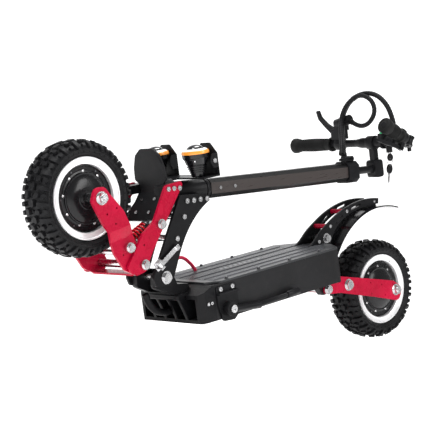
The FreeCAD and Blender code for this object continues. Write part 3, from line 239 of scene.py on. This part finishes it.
class Shape:
    """Gathers faces given in the deck's frame into one mesh."""

    def __init__(self):
        self.verts, self.faces, self.slots = [], [], []

    def add(self, verts, faces, slot=0):
        """Faces given by their own vertices' places in verts."""
        base = len(self.verts)
        self.verts += [Vector(v) for v in verts]
        self.faces += [tuple(base + i for i in f) for f in faces]
        self.slots += [slot] * len(faces)

    def spin(self, profile, origin, axis=Y, segs=64, slot=0, closed=True):
        """Turned body from a profile of (radius, distance along axis)."""
        origin, axis = Vector(origin), Vector(axis).normalized()
        u = axis.orthogonal().normalized()
        w = axis.cross(u)
        rim = []
        for k in range(segs):
            a = 2 * math.pi * k / segs
            rim.append(u * math.cos(a) + w * math.sin(a))
        n = len(profile)
        verts = [origin + axis * h + d * r for d in rim for r, h in profile]
        faces = []
        for k in range(segs):
            k2 = (k + 1) % segs
            for i in range(n if closed else n - 1):
                i2 = (i + 1) % n
                faces.append((k * n + i, k * n + i2, k2 * n + i2, k2 * n + i))
        self.add(verts, faces, slot)

    def rod(self, a, b, r, segs=24, slot=0):
        """Round bar from a to b."""
        a, b = Vector(a), Vector(b)
        length = (b - a).length
        self.spin([(0, 0), (r, 0), (r, length), (0, length)], a, b - a, segs, slot)

    def prism(self, ring, run, slot=0):
        """Outline pushed along run."""
        ring = [Vector(p) for p in ring]
        n = len(ring)
        faces = [tuple(range(n)), tuple(range(2 * n - 1, n - 1, -1))]
        faces += [(i, (i + 1) % n, n + (i + 1) % n, n + i) for i in range(n)]
        self.add(ring + [p + Vector(run) for p in ring], faces, slot)

    def sweep(self, points, radius, segs=16, slot=0):
        """Round bar along points; radius may be a function of (index, angle)."""
        points = [Vector(p) for p in points]
        size = radius if callable(radius) else (lambda i, a: radius)
        u = (points[1] - points[0]).orthogonal().normalized()
        verts, faces = [], []
        for i, p in enumerate(points):
            run = points[min(i + 1, len(points) - 1)] - points[max(i - 1, 0)]
            run.normalize()
            u = (u - run * u.dot(run)).normalized()
            w = run.cross(u)
            for k in range(segs):
                a = 2 * math.pi * k / segs
                verts.append(p + (u * math.cos(a) + w * math.sin(a)) * size(i, a))
        for i in range(len(points) - 1):
            for k in range(segs):
                k2 = (k + 1) % segs
                faces.append((i * segs + k, i * segs + k2, (i + 1) * segs + k2, (i + 1) * segs + k))
        faces.append(tuple(range(segs)))
        faces.append(tuple(range(len(verts) - segs, len(verts))))
        self.add(verts, faces, slot)

    def piece(self, name, body, materials, replaces=(), bevel=0.0, sharp=32):
        """The mesh as an object on a CAD body, standing for the CAD nodes named."""
        mesh = bpy.data.meshes.new(name)
        mesh.from_pydata([at(v) for v in self.verts], [], self.faces)
        work = bmesh.new()
        work.from_mesh(mesh)
        work.faces.ensure_lookup_table()
        for face, which in zip(work.faces, self.slots):
            face.material_index = which
        bmesh.ops.remove_doubles(work, verts=work.verts, dist=1e-6)
        bmesh.ops.recalc_face_normals(work, faces=work.faces)
        work.to_mesh(mesh)
        work.free()
        for each in materials:
            mesh.materials.append(each)
        mesh.polygons.foreach_set("use_smooth", [True] * len(mesh.polygons))
        mesh.set_sharp_from_angle(angle=math.radians(sharp))
        made = bpy.data.objects.new(name, mesh)
        bpy.context.scene.collection.objects.link(made)
        if bevel:
            broken_edges(made, bevel, 38)
        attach(made, body)
        if replaces:
            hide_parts(*replaces)
        return made


def finish_node(name, look, bevel=0.6):
    """Gives a CAD node its finish and breaks its sharp edges."""
    part = NODES[name]
    part.data.materials.clear()
    part.data.materials.append(look)
    if bevel:
        weld = part.modifiers.new("weld", "WELD")
        weld.merge_threshold = 0.00001
        broken_edges(part, bevel, 40)


# ------------------------------------------------------------------ wheels
TREAD_SIDE = [(133.3, 0), (133.1, 8), (132.4, 18), (130.8, 27.5), (128.0, 35.0), (123.5, 40.5), (118.5, 43.8),
              (112.0, 44.3), (105.0, 41.5), (100.0, 37.0), (97.5, 32.5)]


def carcass(u):
    """Radius, width and outward direction at arc length u from the crown's middle."""
    for (r0, y0), (r1, y1) in zip(TREAD_SIDE, TREAD_SIDE[1:]):
        run = math.hypot(r1 - r0, y1 - y0)
        if u <= run:
            t = u / run
            return r0 + (r1 - r0) * t, y0 + (y1 - y0) * t, (y1 - y0) / run, (r0 - r1) / run
        u -= run
    return (*TREAD_SIDE[-1], 0.0, 1.0)


# each block: rows of (arc length, start, end) across the tread, ends as shares of a pitch, and its height
BLOCKS = [
    ([(1.6, 0.16, 0.44), (6, 0.08, 0.54), (12, 0.05, 0.56), (16.5, 0.14, 0.48)], 8.4),
    ([(16, 0.68, 0.86), (20.5, 0.60, 0.93), (26, 0.58, 0.94), (30, 0.64, 0.88)], 8.2),
    ([(23, 0.10, 0.36), (28, 0.05, 0.40), (34, 0.02, 0.38), (40, 0.02, 0.34), (46, 0.05, 0.30),
      (50, 0.08, 0.27)], 7.4),
    ([(37, 0.58, 0.88), (41, 0.55, 0.90), (46, 0.60, 0.84)], 6.2),
    ([(54, 0.12, 0.30), (60, 0.14, 0.28)], 1.6),
    ([(54, 0.62, 0.80), (60, 0.64, 0.78)], 1.6),
]
PITCHES = 22


def tyre(name, body, centre, slot_node):
    """Knobbly tyre: a smooth carcass with six raised blocks to each side of every pitch."""
    shape = Shape()
    half = list(TREAD_SIDE)
    profile = [(r, -y) for r, y in reversed(half)] + half[1:]
    middle = Vector((centre[0], 0, centre[1]))
    shape.spin(profile, middle, Y, 120)
    pitch = 2 * math.pi / PITCHES

    def spot(u, angle, side, height):
        r, y, nr, ny = carcass(u)
        r += nr * height
        return middle + Vector((math.cos(angle) * r, side * (y + ny * height), math.sin(angle) * r))

    for k in range(PITCHES):
        for side in (-1, 1):
            start = pitch * (k + (0.5 if side < 0 else 0.0))
            for rows, height in BLOCKS:
                verts, faces = [], []
                last = len(rows) - 1
                for i, (u, a, b) in enumerate(rows):
                    inset = 0.035
                    top_u = u + (1.0 if i == 0 else -1.0 if i == last else 0.0)
                    for share, high, along in ((a, -1.0, u), (a + inset, height, top_u),
                                               (b - inset, height, top_u), (b, -1.0, u)):
                        verts.append(spot(along, start + pitch * share, side, high))
                for i in range(last):
                    for j in range(3):
                        faces.append((i * 4 + j, i * 4 + j + 1, i * 4 + j + 5, i * 4 + j + 4))
                faces += [(0, 1, 2, 3), (last * 4 + 3, last * 4 + 2, last * 4 + 1, last * 4)]
                shape.add(verts, faces)
            # a sipe rib between the middle blocks
            a0, a1 = start + pitch * 0.70, start + pitch * 0.92
            rib = [spot(3, a0, side, -1), spot(9, a0, side, -1), spot(9, a1, side, -1), spot(3, a1, side, -1)]
            top = [spot(3.6, a0 + 0.01, side, 3.4), spot(8.4, a0 + 0.01, side, 3.4),
                   spot(8.4, a1 - 0.01, side, 3.4), spot(3.6, a1 - 0.01, side, 3.4)]
            walls = [(i, (i + 1) % 4, 4 + (i + 1) % 4, 4 + i) for i in range(4)]
            shape.add(rib + top, [(4, 5, 6, 7)] + walls)
    for side in (-1, 1):
        for r, y in ((117, 44.9), (108, 43.2)):
            ring = [(r - 1.2, y - 1.2), (r - 0.5, y + 0.6), (r + 0.5, y + 0.7), (r + 1.2, y - 0.8)]
            shape.spin([(a, side * b) for a, b in ring], middle, Y, 96)
    shape.piece(name, body, [tyre_rubber], [slot_node], bevel=0.7, sharp=40)


def rim(name, body, centre, slot_node):
    """Painted ring with a lip at each side, and its valve."""
    shape = Shape()
    middle = Vector((centre[0], 0, centre[1]))
    for side in (-1, 1):
        face = [(97.4, 30), (97.4, 36.0), (99.0, 38.4), (98.0, 40.4), (95.6, 40.2), (94.0, 38.0),
                (86.0, 36.6),
                (83.6, 36.9), (81.6, 35.8), (81.2, 30.0)]
        shape.spin([(r, side * y) for r, y in face], middle, Y, 128)
    shape.spin([(97.2, -31), (97.2, 31), (81.2, 31), (81.2, -31)], middle, Y, 96)
    valve = middle + Vector((0, 33, 0)) + Vector((math.cos(2.2), 0, math.sin(2.2))) * 88
    shape.rod(valve, valve + Vector((-math.cos(2.2) * 3, 9, -math.sin(2.2) * 3)), 2.8, 12)
    shape.piece(name, body, [rim_silver], [slot_node], sharp=28)


def motor(name, body, centre, slot_node):
    """Hub motor: stepped side covers with two rings of screws and a raised boss."""
    shape = Shape()
    middle = Vector((centre[0], 0, centre[1]))
    half = [(81.0, 25.0), (79.5, 28.5), (77.5, 29.0), (76.0, 27.6), (68.5, 27.6), (66.5, 29.5), (62.5, 30.2),
            (61.6, 33.4), (60.0, 34.6), (57.0, 34.2), (55.0, 35.4), (50.0, 38.2), (42.0, 40.4), (32.0, 41.6),
            (27.0, 41.8), (25.5, 43.0), (19.0, 43.0), (18.0, 41.6), (8.2, 41.6)]
    profile = [(r, -y) for r, y in reversed(half)] + half
    shape.spin(profile, middle, Y, 128)
    for side in (-1, 1):
        for k in range(9):
            a = 2 * math.pi * (k + 0.35) / 9
            out = Vector((math.cos(a), 0, math.sin(a)))
            base = middle + out * 65 + Y * (side * 29.2)
            shape.spin([(0, 0), (3.6, 0), (3.6, 1.2), (2.6, 2.6), (1.7, 2.7), (1.7, 1.4), (0, 1.4)],
                       base, Y * side, 14, slot=1)
        for k in range(6):
            a = 2 * math.pi * (k + 0.1) / 6
            out = Vector((math.cos(a), 0, math.sin(a)))
            base = middle + out * 72
            shape.rod(base + Y * (side * 27), base + Y * (side * 29.4), 2.2, 12, slot=2)
    shape.piece(name, body, [gloss_motor, steel, dark_steel], [slot_node], sharp=25)


for prefix, body, centre in (("front", "front_wheel", FRONT_AXLE), ("rear", "rear_wheel", REAR_AXLE)):
    tyre(prefix + "_tyre_knobs", body, centre, prefix + "_tyre")
    rim(prefix + "_rim_ring", body, centre, prefix + "_rim")
    motor(prefix + "_hub_motor", body, centre, prefix + "_motor")


# ------------------------------------------------------------------ coil springs
def coils(name, body, top, low, lanes, turns, node_name, ends=19.0, radius=14.2, wire=2.7):
    """Coil springs between the two seats of each damper."""
    top, low = Vector((top[0], 0, top[1])), Vector((low[0], 0, low[1]))
    run = (low - top).normalized()
    start, length = top + run * ends, (low - top).length - 2 * ends
    across = run.orthogonal().normalized()
    third = run.cross(across)
    shape = Shape()
    for lane in lanes:
        path = []
        steps = int(turns * 26)
        for i in range(steps + 1):
            t = i / steps
            rise = wire + (length - 2 * wire) * t
            a = 2 * math.pi * turns * t
            path.append(start + Y * lane + run * rise
                        + (across * math.cos(a) + third * math.sin(a)) * radius)
        shape.sweep(path, wire, 12)
    made = shape.piece(name, body, [red_gloss], [node_name], sharp=60)
    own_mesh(made)
    return made


coils("front_coils", "front_damper_rod", (581, 170), (682, 132), (53, -53), 6.5,
      "front_damper_spring")
coils("rear_coil", "rear_damper_rod", (-57, 12), (-58, -117), (0,), 7.5,
      "rear_damper_spring")


# ------------------------------------------------------------------ deck plate
def deck_plate():
    """Top plate with five bands of ridges, a row of plain dashes and its screws; the ridges carry a lighter
    grey as a painted highlight.
    """
    shape = Shape()
    x1 = 440
    ring = [(-38, -64), (-38, 64), (0, 120), (432, 120), (462, 86), (462, -86), (432, -120), (0, -120)]
    shape.prism([(x, y, -5) for x, y in ring], (0, 0, 5.3))
    for middle, half, x0 in ((0, 22, -20), (-46, 14, -16), (46, 14, -16), (-84, 12, 16), (84, 12, 16)):
        count = max(3, int(half / 3.4))
        step = 2 * half / count
        for i in range(count):
            y0 = middle - half + step * i
            y1 = y0 + step
            groove = step * 0.16
            edge = 1.6 if i in (0, count - 1) else 0.0
            low = [(x0, y0, 0), (x1, y0, 0), (x1, y1, 0), (x0, y1, 0)]
            left = groove + (edge if i == 0 else 0)
            right = groove + (edge if i == count - 1 else 0)
            high = [(x0 + 7, y0 + left, 2.5), (x1 - 7, y0 + left, 2.5), (x1 - 7, y1 - right, 2.5),
                    (x0 + 7, y1 - right, 2.5)]
            shape.add(low + high, [(4, 5, 6, 7), (0, 1, 2, 3)]
                      + [(j, (j + 1) % 4, 4 + (j + 1) % 4, 4 + j) for j in range(4)], slot=1)
    for k in range(9):
        x = 176 + 17 * k
        mark = [(x, -7, 2.5), (x + 9, -7, 2.5), (x + 13, 7, 2.5), (x + 4, 7, 2.5)]
        shape.prism(mark, (0, 0, 0.25), slot=2)
    for side in (-1, 1):
        for x in (60, 175, 290, 405):
            foot = Vector((x, side * 109, 0))
            shape.spin([(0, 0), (5.4, 0), (5.4, 1.2), (3.9, 1.4), (3.9, 4.6), (3.2, 5.4), (0, 5.4)], foot,
                       (0, 0, 1), 18, slot=3)
    # slot 1 is the lighter ridge grey, a painted highlight on the ridges
    shape.piece("deck_top_plate", "deck", [deck_grey, ridge_grey_highlit, pale_mark, dark_steel],
                ["deck_plate"], bevel=0.35, sharp=30)


deck_plate()


# ------------------------------------------------------------------ lamps
def lamps():
    """Two lamps: ribbed body, coloured outer ring, pale inner ring and dark dome."""
    shape = Shape()
    lens = Shape()
    up = Vector((0, 0, 1))
    for side in (-1, 1):
        foot = Vector((LAMP_X, side * LAMP_Y, LAMP_FOOT_Z))
        body = [(0, 0), (15, 0), (17, 2), (18, 10)]
        for k in range(4):
            h = 10 + 5 * k
            r = 18.5 + 1.6 * k
            body += [(r + 2.4, h), (r + 2.4, h + 2.2), (r, h + 2.6), (r + 0.4, h + 4.6)]
        body += [(26, 31), (30, 43), (33.5, 47), (34, 57.5), (31, 58.5), (0, 58.5)]
        shape.spin(body, foot, up, 56)
        outer = [(31, 57), (34.6, 57), (35.0, 60), (34, 64), (32.4, 65.5), (31, 65)]
        shape.spin(outer, foot, up, 56, slot=1)
        inner = [(21, 57), (31.2, 57), (31.2, 65.5), (28, 68.5), (23, 69.8), (21, 68)]
        shape.spin(inner, foot, up, 56, slot=2)
        dome = [(0, 57), (22.3, 57)]
        for k in range(9):
            a = math.radians(90 * k / 8)
            dome.append((22.3 * math.cos(a), 67 + 13 * math.sin(a)))
        lens.spin(dome, foot, up, 48)
        for k in range(3):
            a = math.radians(120 * k + 40)
            pin = foot + Vector((math.cos(a) * 27, math.sin(a) * 27, 38))
            shape.rod(pin, pin + Vector((0, 0, 8)), 2.6, 12, slot=3)
    shape.piece("lamp_housings", "steering", [gloss_black, orange, white_ring, steel],
                ["lamp_bodies"], sharp=30)
    lens.piece("lamp_domes", "steering", [lens_black], ["lamp_lenses"], sharp=40)


lamps()

# ------------------------------------------------------------------ grips

def grip(name, body, start, run, length, node_name, flare=4.5, girth=17.2):
    """Ribbed rubber grip from its closed end to its inner collar."""
    profile = [(0, 0), (17, 0), (20.5, 1.2), (17.5 + flare, 4), (17.5 + flare, 12), (20, 24)]
    count = int((length - 48) / 3.4)
    for k in range(count):
        h = 27 + 3.4 * k
        swell = girth + 1.3 * math.sin(math.pi * k / count) ** 2
        profile += [(swell, h), (swell + 0.9, h + 0.8), (swell + 0.9, h + 2.0), (swell, h + 2.8)]
    profile += [(17, length - 18), (17, length - 8), (21.3, length - 6), (21.3, length), (11.4, length),
                (11.4, 30)]
    shape = Shape()
    shape.spin(profile, start, run, 48)
    shape.spin([(0, -0.6), (8, -0.6), (8.6, 0.6), (0, 0.6)], start, run, 24, slot=1)
    shape.piece(name, body, [rubber, satin_plastic], [node_name], sharp=42)


grip("right_grip_ribbed", "bar", BAR + Y * RIGHT_GRIP_END_Y, Y, RIGHT_GRIP_LEN, "grip_right", flare=5)
_RISE = math.radians(LEFT_GRIP_RISE)
_OUT = Vector((math.cos(_RISE), 0, math.sin(_RISE)))
_END = BAR + Y * LEFT_HINGE_Y + _OUT * LEFT_GRIP_END
grip("left_grip_ribbed", "left_grip", _END, -_OUT, LEFT_GRIP_LEN, "grip_left", flare=4.8, girth=18.4)


# ------------------------------------------------------------------ display, switches and keys
def pod_trim():
    """Round display with its rim and glass, and three ribs on the case."""
    shape = Shape()
    x, z = BAR.x, BAR.z
    face = Vector((x - 48, 78, z))
    out = Vector((-1, 0, 0))
    shape.spin([(15.5, -1), (20.6, -1), (20.9, 1.0), (19.5, 2.6), (16.5, 2.8), (15.5, 1.6)], face, out, 40)
    shape.spin([(0, -1), (16, -1), (16, 1.4), (0, 1.8)], face, out, 40, slot=1)
    for k in range(3):
        y = 71 + 5 * k
        bar = [(x - 26, y, z + 20), (x - 26, y + 2, z + 20), (x - 40, y + 2, z + 20.2), (x - 40, y, z + 20.2)]
        shape.prism(bar, (0, 0, 0.8), slot=2)
    shape.piece("display_trim", "bar", [pod_grey, lens_black, satin_plastic], sharp=35)


def keys():
    """Key in the lock, and the spare that hangs from its ring."""
    x, z = BAR.x, BAR.z

    def bow(shape, top, down, side, length, hole):
        """Flat oval key head with a round hole."""
        rim, steps = [], 32
        for k in range(steps):
            a = 2 * math.pi * k / steps
            along = length / 2 - math.cos(a) * length / 2
            rim.append(top + down * along + side * (math.sin(a) * 11) - Y * 2.4)
        inner = [top + down * (hole + 3.0 * math.cos(2 * math.pi * k / steps + math.pi))
                 + side * (3.0 * math.sin(2 * math.pi * k / steps)) - Y * 2.4 for k in range(steps)]
        verts = rim + inner + [p + Y * 4.8 for p in rim] + [p + Y * 4.8 for p in inner]
        n, faces = steps, []
        for k in range(n):
            j = (k + 1) % n
            faces += [(k, j, n + j, n + k), (2 * n + k, 3 * n + k, 3 * n + j, 2 * n + j),
                      (k, 2 * n + k, 2 * n + j, j), (n + k, n + j, 3 * n + j, 3 * n + k)]
        shape.add(verts, faces)

    first = Shape()
    down, side = Vector((0, 0, -1)), Vector((1, 0, 0))
    low = Vector((x, 60, z - 30))
    first.rod(low - down * 8, low + down * 3, 4.1, 20, slot=1)
    first.rod(low + down * 3, low + down * 6, 4.6, 20)
    bow(first, low + down * 4, down, side, 21, 15)
    first.piece("key_in_lock", "key", [satin_plastic, steel], ["ignition_key"], bevel=0.5,
                sharp=35)

    spare = Shape()
    hole = Vector((x, 60, z - 49))
    fall = Vector((math.sin(TIP), 0, -math.cos(TIP)))
    lie = Vector((math.cos(TIP), 0, math.sin(TIP)))
    ring, steps = [], 40
    for k in range(steps + 1):
        a = 2 * math.pi * k / steps
        ring.append(hole + fall * (9 - 9 * math.cos(a)) + Y * (9 * math.sin(a)))
    spare.sweep(ring, 0.9, 10, slot=1)
    bow(spare, hole + fall * 14.5, fall, lie, 28, 4.5)
    blade = hole + fall * 41
    spare.prism([blade - lie * 3.2 - Y, blade + lie * 3.2 - Y, blade + lie * 3.2 + fall * 21 - Y,
                 blade + lie * 1.4 + fall * 29 - Y, blade - lie * 3.2 + fall * 27 - Y], Y * 2.0, slot=1)
    spare.prism([blade - lie * 3.6 - Y * 1.6 - fall * 3, blade + lie * 3.6 - Y * 1.6 - fall * 3,
                 blade + lie * 3.6 - Y * 1.6 + fall * 5, blade - lie * 3.6 - Y * 1.6 + fall * 5],
                Y * 3.2, slot=1)
    spare.piece("spare_key_on_ring", "spare_key", [satin_plastic, steel], ["hanging_key"],
                bevel=0.4, sharp=35)


pod_trim()
keys()


# ------------------------------------------------------------------ cable looms
def route(points):
    """Points along a smooth NURBS line through the same corners as the solid's route."""
    data = bpy.data.curves.new("route", "CURVE")
    data.dimensions = "3D"
    data.resolution_u = 24
    line = data.splines.new("NURBS")
    line.points.add(len(points) - 1)
    for p, spot in zip(line.points, points):
        p.co = (*[c / 1000 for c in spot], 1)
    line.order_u = 3
    line.use_endpoint_u = True
    thread = bpy.data.objects.new("route", data)
    bpy.context.scene.collection.objects.link(thread)
    bpy.context.view_layer.update()
    mesh = bpy.data.meshes.new_from_object(thread)
    found = [v.co * 1000 for v in mesh.vertices]
    bpy.data.objects.remove(thread)
    return found


def even(points, step):
    """The same line with points every step millimetres."""
    made, carry = [points[0]], 0.0
    for a, b in zip(points, points[1:]):
        length = (b - a).length
        d = step - carry
        while d <= length:
            made.append(a.lerp(b, d / length))
            d += step
        carry = length - (d - step)
    made.append(points[-1])
    return made


def looms():
    """Spiral wrapped looms, with a collar at each end and a tie at the middle."""
    x, z = BAR.x, BAR.z
    front = [(x - 10, 79, z + 22), (x - 6, 82, z + 50), (x - 3, 78, z + 80), (x - 2, 66, z + 109),
             (x - 2, 37, z + 136), (x - 2, -4, z + 145), (x - 2, -48, z + 136), (x, -80, z + 113),
             (x + 8, -96, z + 81), (x + 25, -86, z + 53), (x + 48, -69, z + 24), (x + 74, -48, z - 2),
             (x + 96, -28, z - 24)]
    rear = [(x + 7, -67, z + 66), (x + 11, -40, z + 52), (x + 13, -9, z + 51), (x + 14, 16, z + 64),
            (x + 14, 33, z + 86), (x + 14, 34, z + 111), (x + 14, 18, z + 131), (x + 14, -10, z + 141),
            (x + 16, -41, z + 133), (x + 20, -68, z + 112), (x + 27, -82, z + 84), (x + 40, -78, z + 57),
            (x + 60, -63, z + 29), (x + 84, -44, z + 2), (x + 102, -32, z - 18)]
    step, pitch, groove, swell = 0.8, 8.5, 0.14, 0.25
    shape = Shape()
    for points, r in ((front, 7.2), (rear, 6.7)):
        line = even(route(points), step)

        def wrap(i, a, r=r):
            turn = (i * step / pitch - a / (2 * math.pi)) % 1.0
            if turn < groove:
                return r - 0.9
            return r - swell + swell * math.sin(math.pi * (turn - groove) / (1 - groove))
        shape.sweep(line, wrap, 28)
        for end, other in ((line[0], line[6]), (line[-1], line[-7])):
            shape.rod(end, end + (other - end).normalized() * 9, r + 1.0, 24, slot=1)
        middle = line[len(line) // 2]
        ahead = line[len(line) // 2 + 4]
        shape.rod(middle, middle + (ahead - middle).normalized() * 3.4, r + 0.9, 24, slot=1)
    shape.piece("spiral_looms", "bar", [satin_plastic, rubber], ["bar_looms"], sharp=50)


looms()

# ------------------------------------------------------------------ finishes of the CAD parts
FINISH = [
    (black_metal, 0.8, "neck_plates head_tube fork_crown stem_clamp hinge_base rear_arches lamp_bracket "
                       "clamp_lever riser_clamp perch_right fold_socket folded_bar brake_lever_right "
                       "brake_lever_left stand_bracket stand_leg"),
    (cast_black, 1.2, "nose_casting"),
    (tub_black, 0.8, "deck_tub"),
    (black_metal, 0, "inner_tube handlebar"),
    (satin_plastic, 0.5, "left_pods throttle front_mudguard"),
    (gloss_black, 0, "rear_mudguard"),
    (red_metal, 0.9, "rear_arm fork_legs front_arm"),
    (red_metal, 0, "arch_rails"),
    (steel, 0.5, "deck_bolts rear_axle neck_bolts fork_bolts front_axle latch_lever"),
    (dark_steel, 0.4, "rear_damper_body rear_damper_rod front_damper_body front_damper_rod"),
    (stem_metal, 0.8, "stem_beam"),
    (satin_plastic, 0, "motor_sleeve"),
    (red_sleeve, 0, "red_cable"),
    (cell_black, 0, "battery_pack"),
    (button_red, 0.4, "button_red"),
    (button_green, 0.4, "button_green"),
]
for look, width, names in FINISH:
    for name in names.split():
        finish_node(name, look, width)


# ------------------------------------------------------------------ floor, light and camera
def stage():
    """Pale paper that lies flat and sweeps up far behind the object."""
    flat_end, bend_r, bend_steps, wall_top = 5.0, 3.0, 12, 9.0
    profile = [(-12.0, 0.0), (flat_end, 0.0)]
    for k in range(1, bend_steps + 1):
        a = math.radians(90 * k / bend_steps)
        profile.append((flat_end + bend_r * math.sin(a), bend_r * (1 - math.cos(a))))
    profile.append((flat_end + bend_r, wall_top))
    away = Vector((-0.68, -0.733, 0)).normalized()
    side = Vector((away.y, -away.x, 0))
    verts, faces = [], []
    for run, high in profile:
        for k in (-1, 1):
            verts.append(away * run + side * (k * 12.0) + Vector((0, 0, high)))
    for i in range(len(profile) - 1):
        faces.append((2 * i, 2 * i + 1, 2 * i + 3, 2 * i + 2))
    mesh = bpy.data.meshes.new("floor")
    mesh.from_pydata(verts, [], faces)
    mesh.polygons.foreach_set("use_smooth", [True] * len(mesh.polygons))
    paper = bpy.data.materials.new("paper")
    paper.use_nodes = True
    shader = paper.node_tree.nodes["Principled BSDF"]
    shader.inputs["Base Color"].default_value = (0.93, 0.93, 0.93, 1)
    shader.inputs["Roughness"].default_value = 0.9
    shader.inputs["Specular IOR Level"].default_value = 0.0
    shader.inputs["Emission Color"].default_value = (1, 1, 1, 1)
    shader.inputs["Emission Strength"].default_value = 0.68
    mesh.materials.append(paper)
    floor = bpy.data.objects.new("floor", mesh)
    bpy.context.scene.collection.objects.link(floor)


def light(name, place, target, size, power):
    """Rectangular soft light that faces its target."""
    lamp = bpy.data.lights.new(name, "AREA")
    lamp.shape = "RECTANGLE"
    lamp.size, lamp.size_y = size
    lamp.energy = power
    made = bpy.data.objects.new(name, lamp)
    made.location = place
    made.rotation_euler = (Vector(target) - Vector(place)).to_track_quat("-Z", "Y").to_euler()
    bpy.context.scene.collection.objects.link(made)


stage()
world = bpy.data.worlds.new("studio")
bpy.context.scene.world = world
world.use_nodes = True
world.node_tree.nodes["Background"].inputs["Color"].default_value = (1, 1, 1, 1)
world.node_tree.nodes["Background"].inputs["Strength"].default_value = 0.34
light("key_light", (2.6, 0.6, 2.6), (0, 0.1, 0.3), (1.2, 1.2), 75)
light("side_light", (-0.9, 2.9, 1.5), (0, 0, 0.3), (1.0, 1.6), 42)
light("top_light", (0, 0, 3.2), (0, 0, 0), (1.6, 1.0), 62)

def camera(place, yaw, pitch, roll, focal):
    """Camera at a place in the deck's frame, turned by angles in degrees from looking back along it."""
    yaw, pitch, roll = (math.radians(a) for a in (yaw, pitch, roll))
    back = Vector((math.cos(yaw) * math.cos(pitch), math.sin(yaw) * math.cos(pitch), math.sin(pitch)))
    right = Vector((-math.sin(yaw), math.cos(yaw), 0))
    up = back.cross(right)
    right, up = right * math.cos(roll) + up * math.sin(roll), up * math.cos(roll) - right * math.sin(roll)
    lens = bpy.data.cameras.new("camera")
    lens.sensor_width = 36
    lens.lens = focal
    lens.clip_start, lens.clip_end = 0.05, 60
    made = bpy.data.objects.new("camera", lens)
    bpy.context.scene.collection.objects.link(made)
    aim = (_TURN @ Matrix((right, up, back)).transposed()).to_4x4()
    made.matrix_world = Matrix.Translation(at(place)) @ aim
    bpy.context.scene.camera = made


camera((2754.1, 2665.7, 597.4), 47.56, 7.15, -7.33, 117.8)
bpy.context.scene.view_settings.view_transform = "Standard"
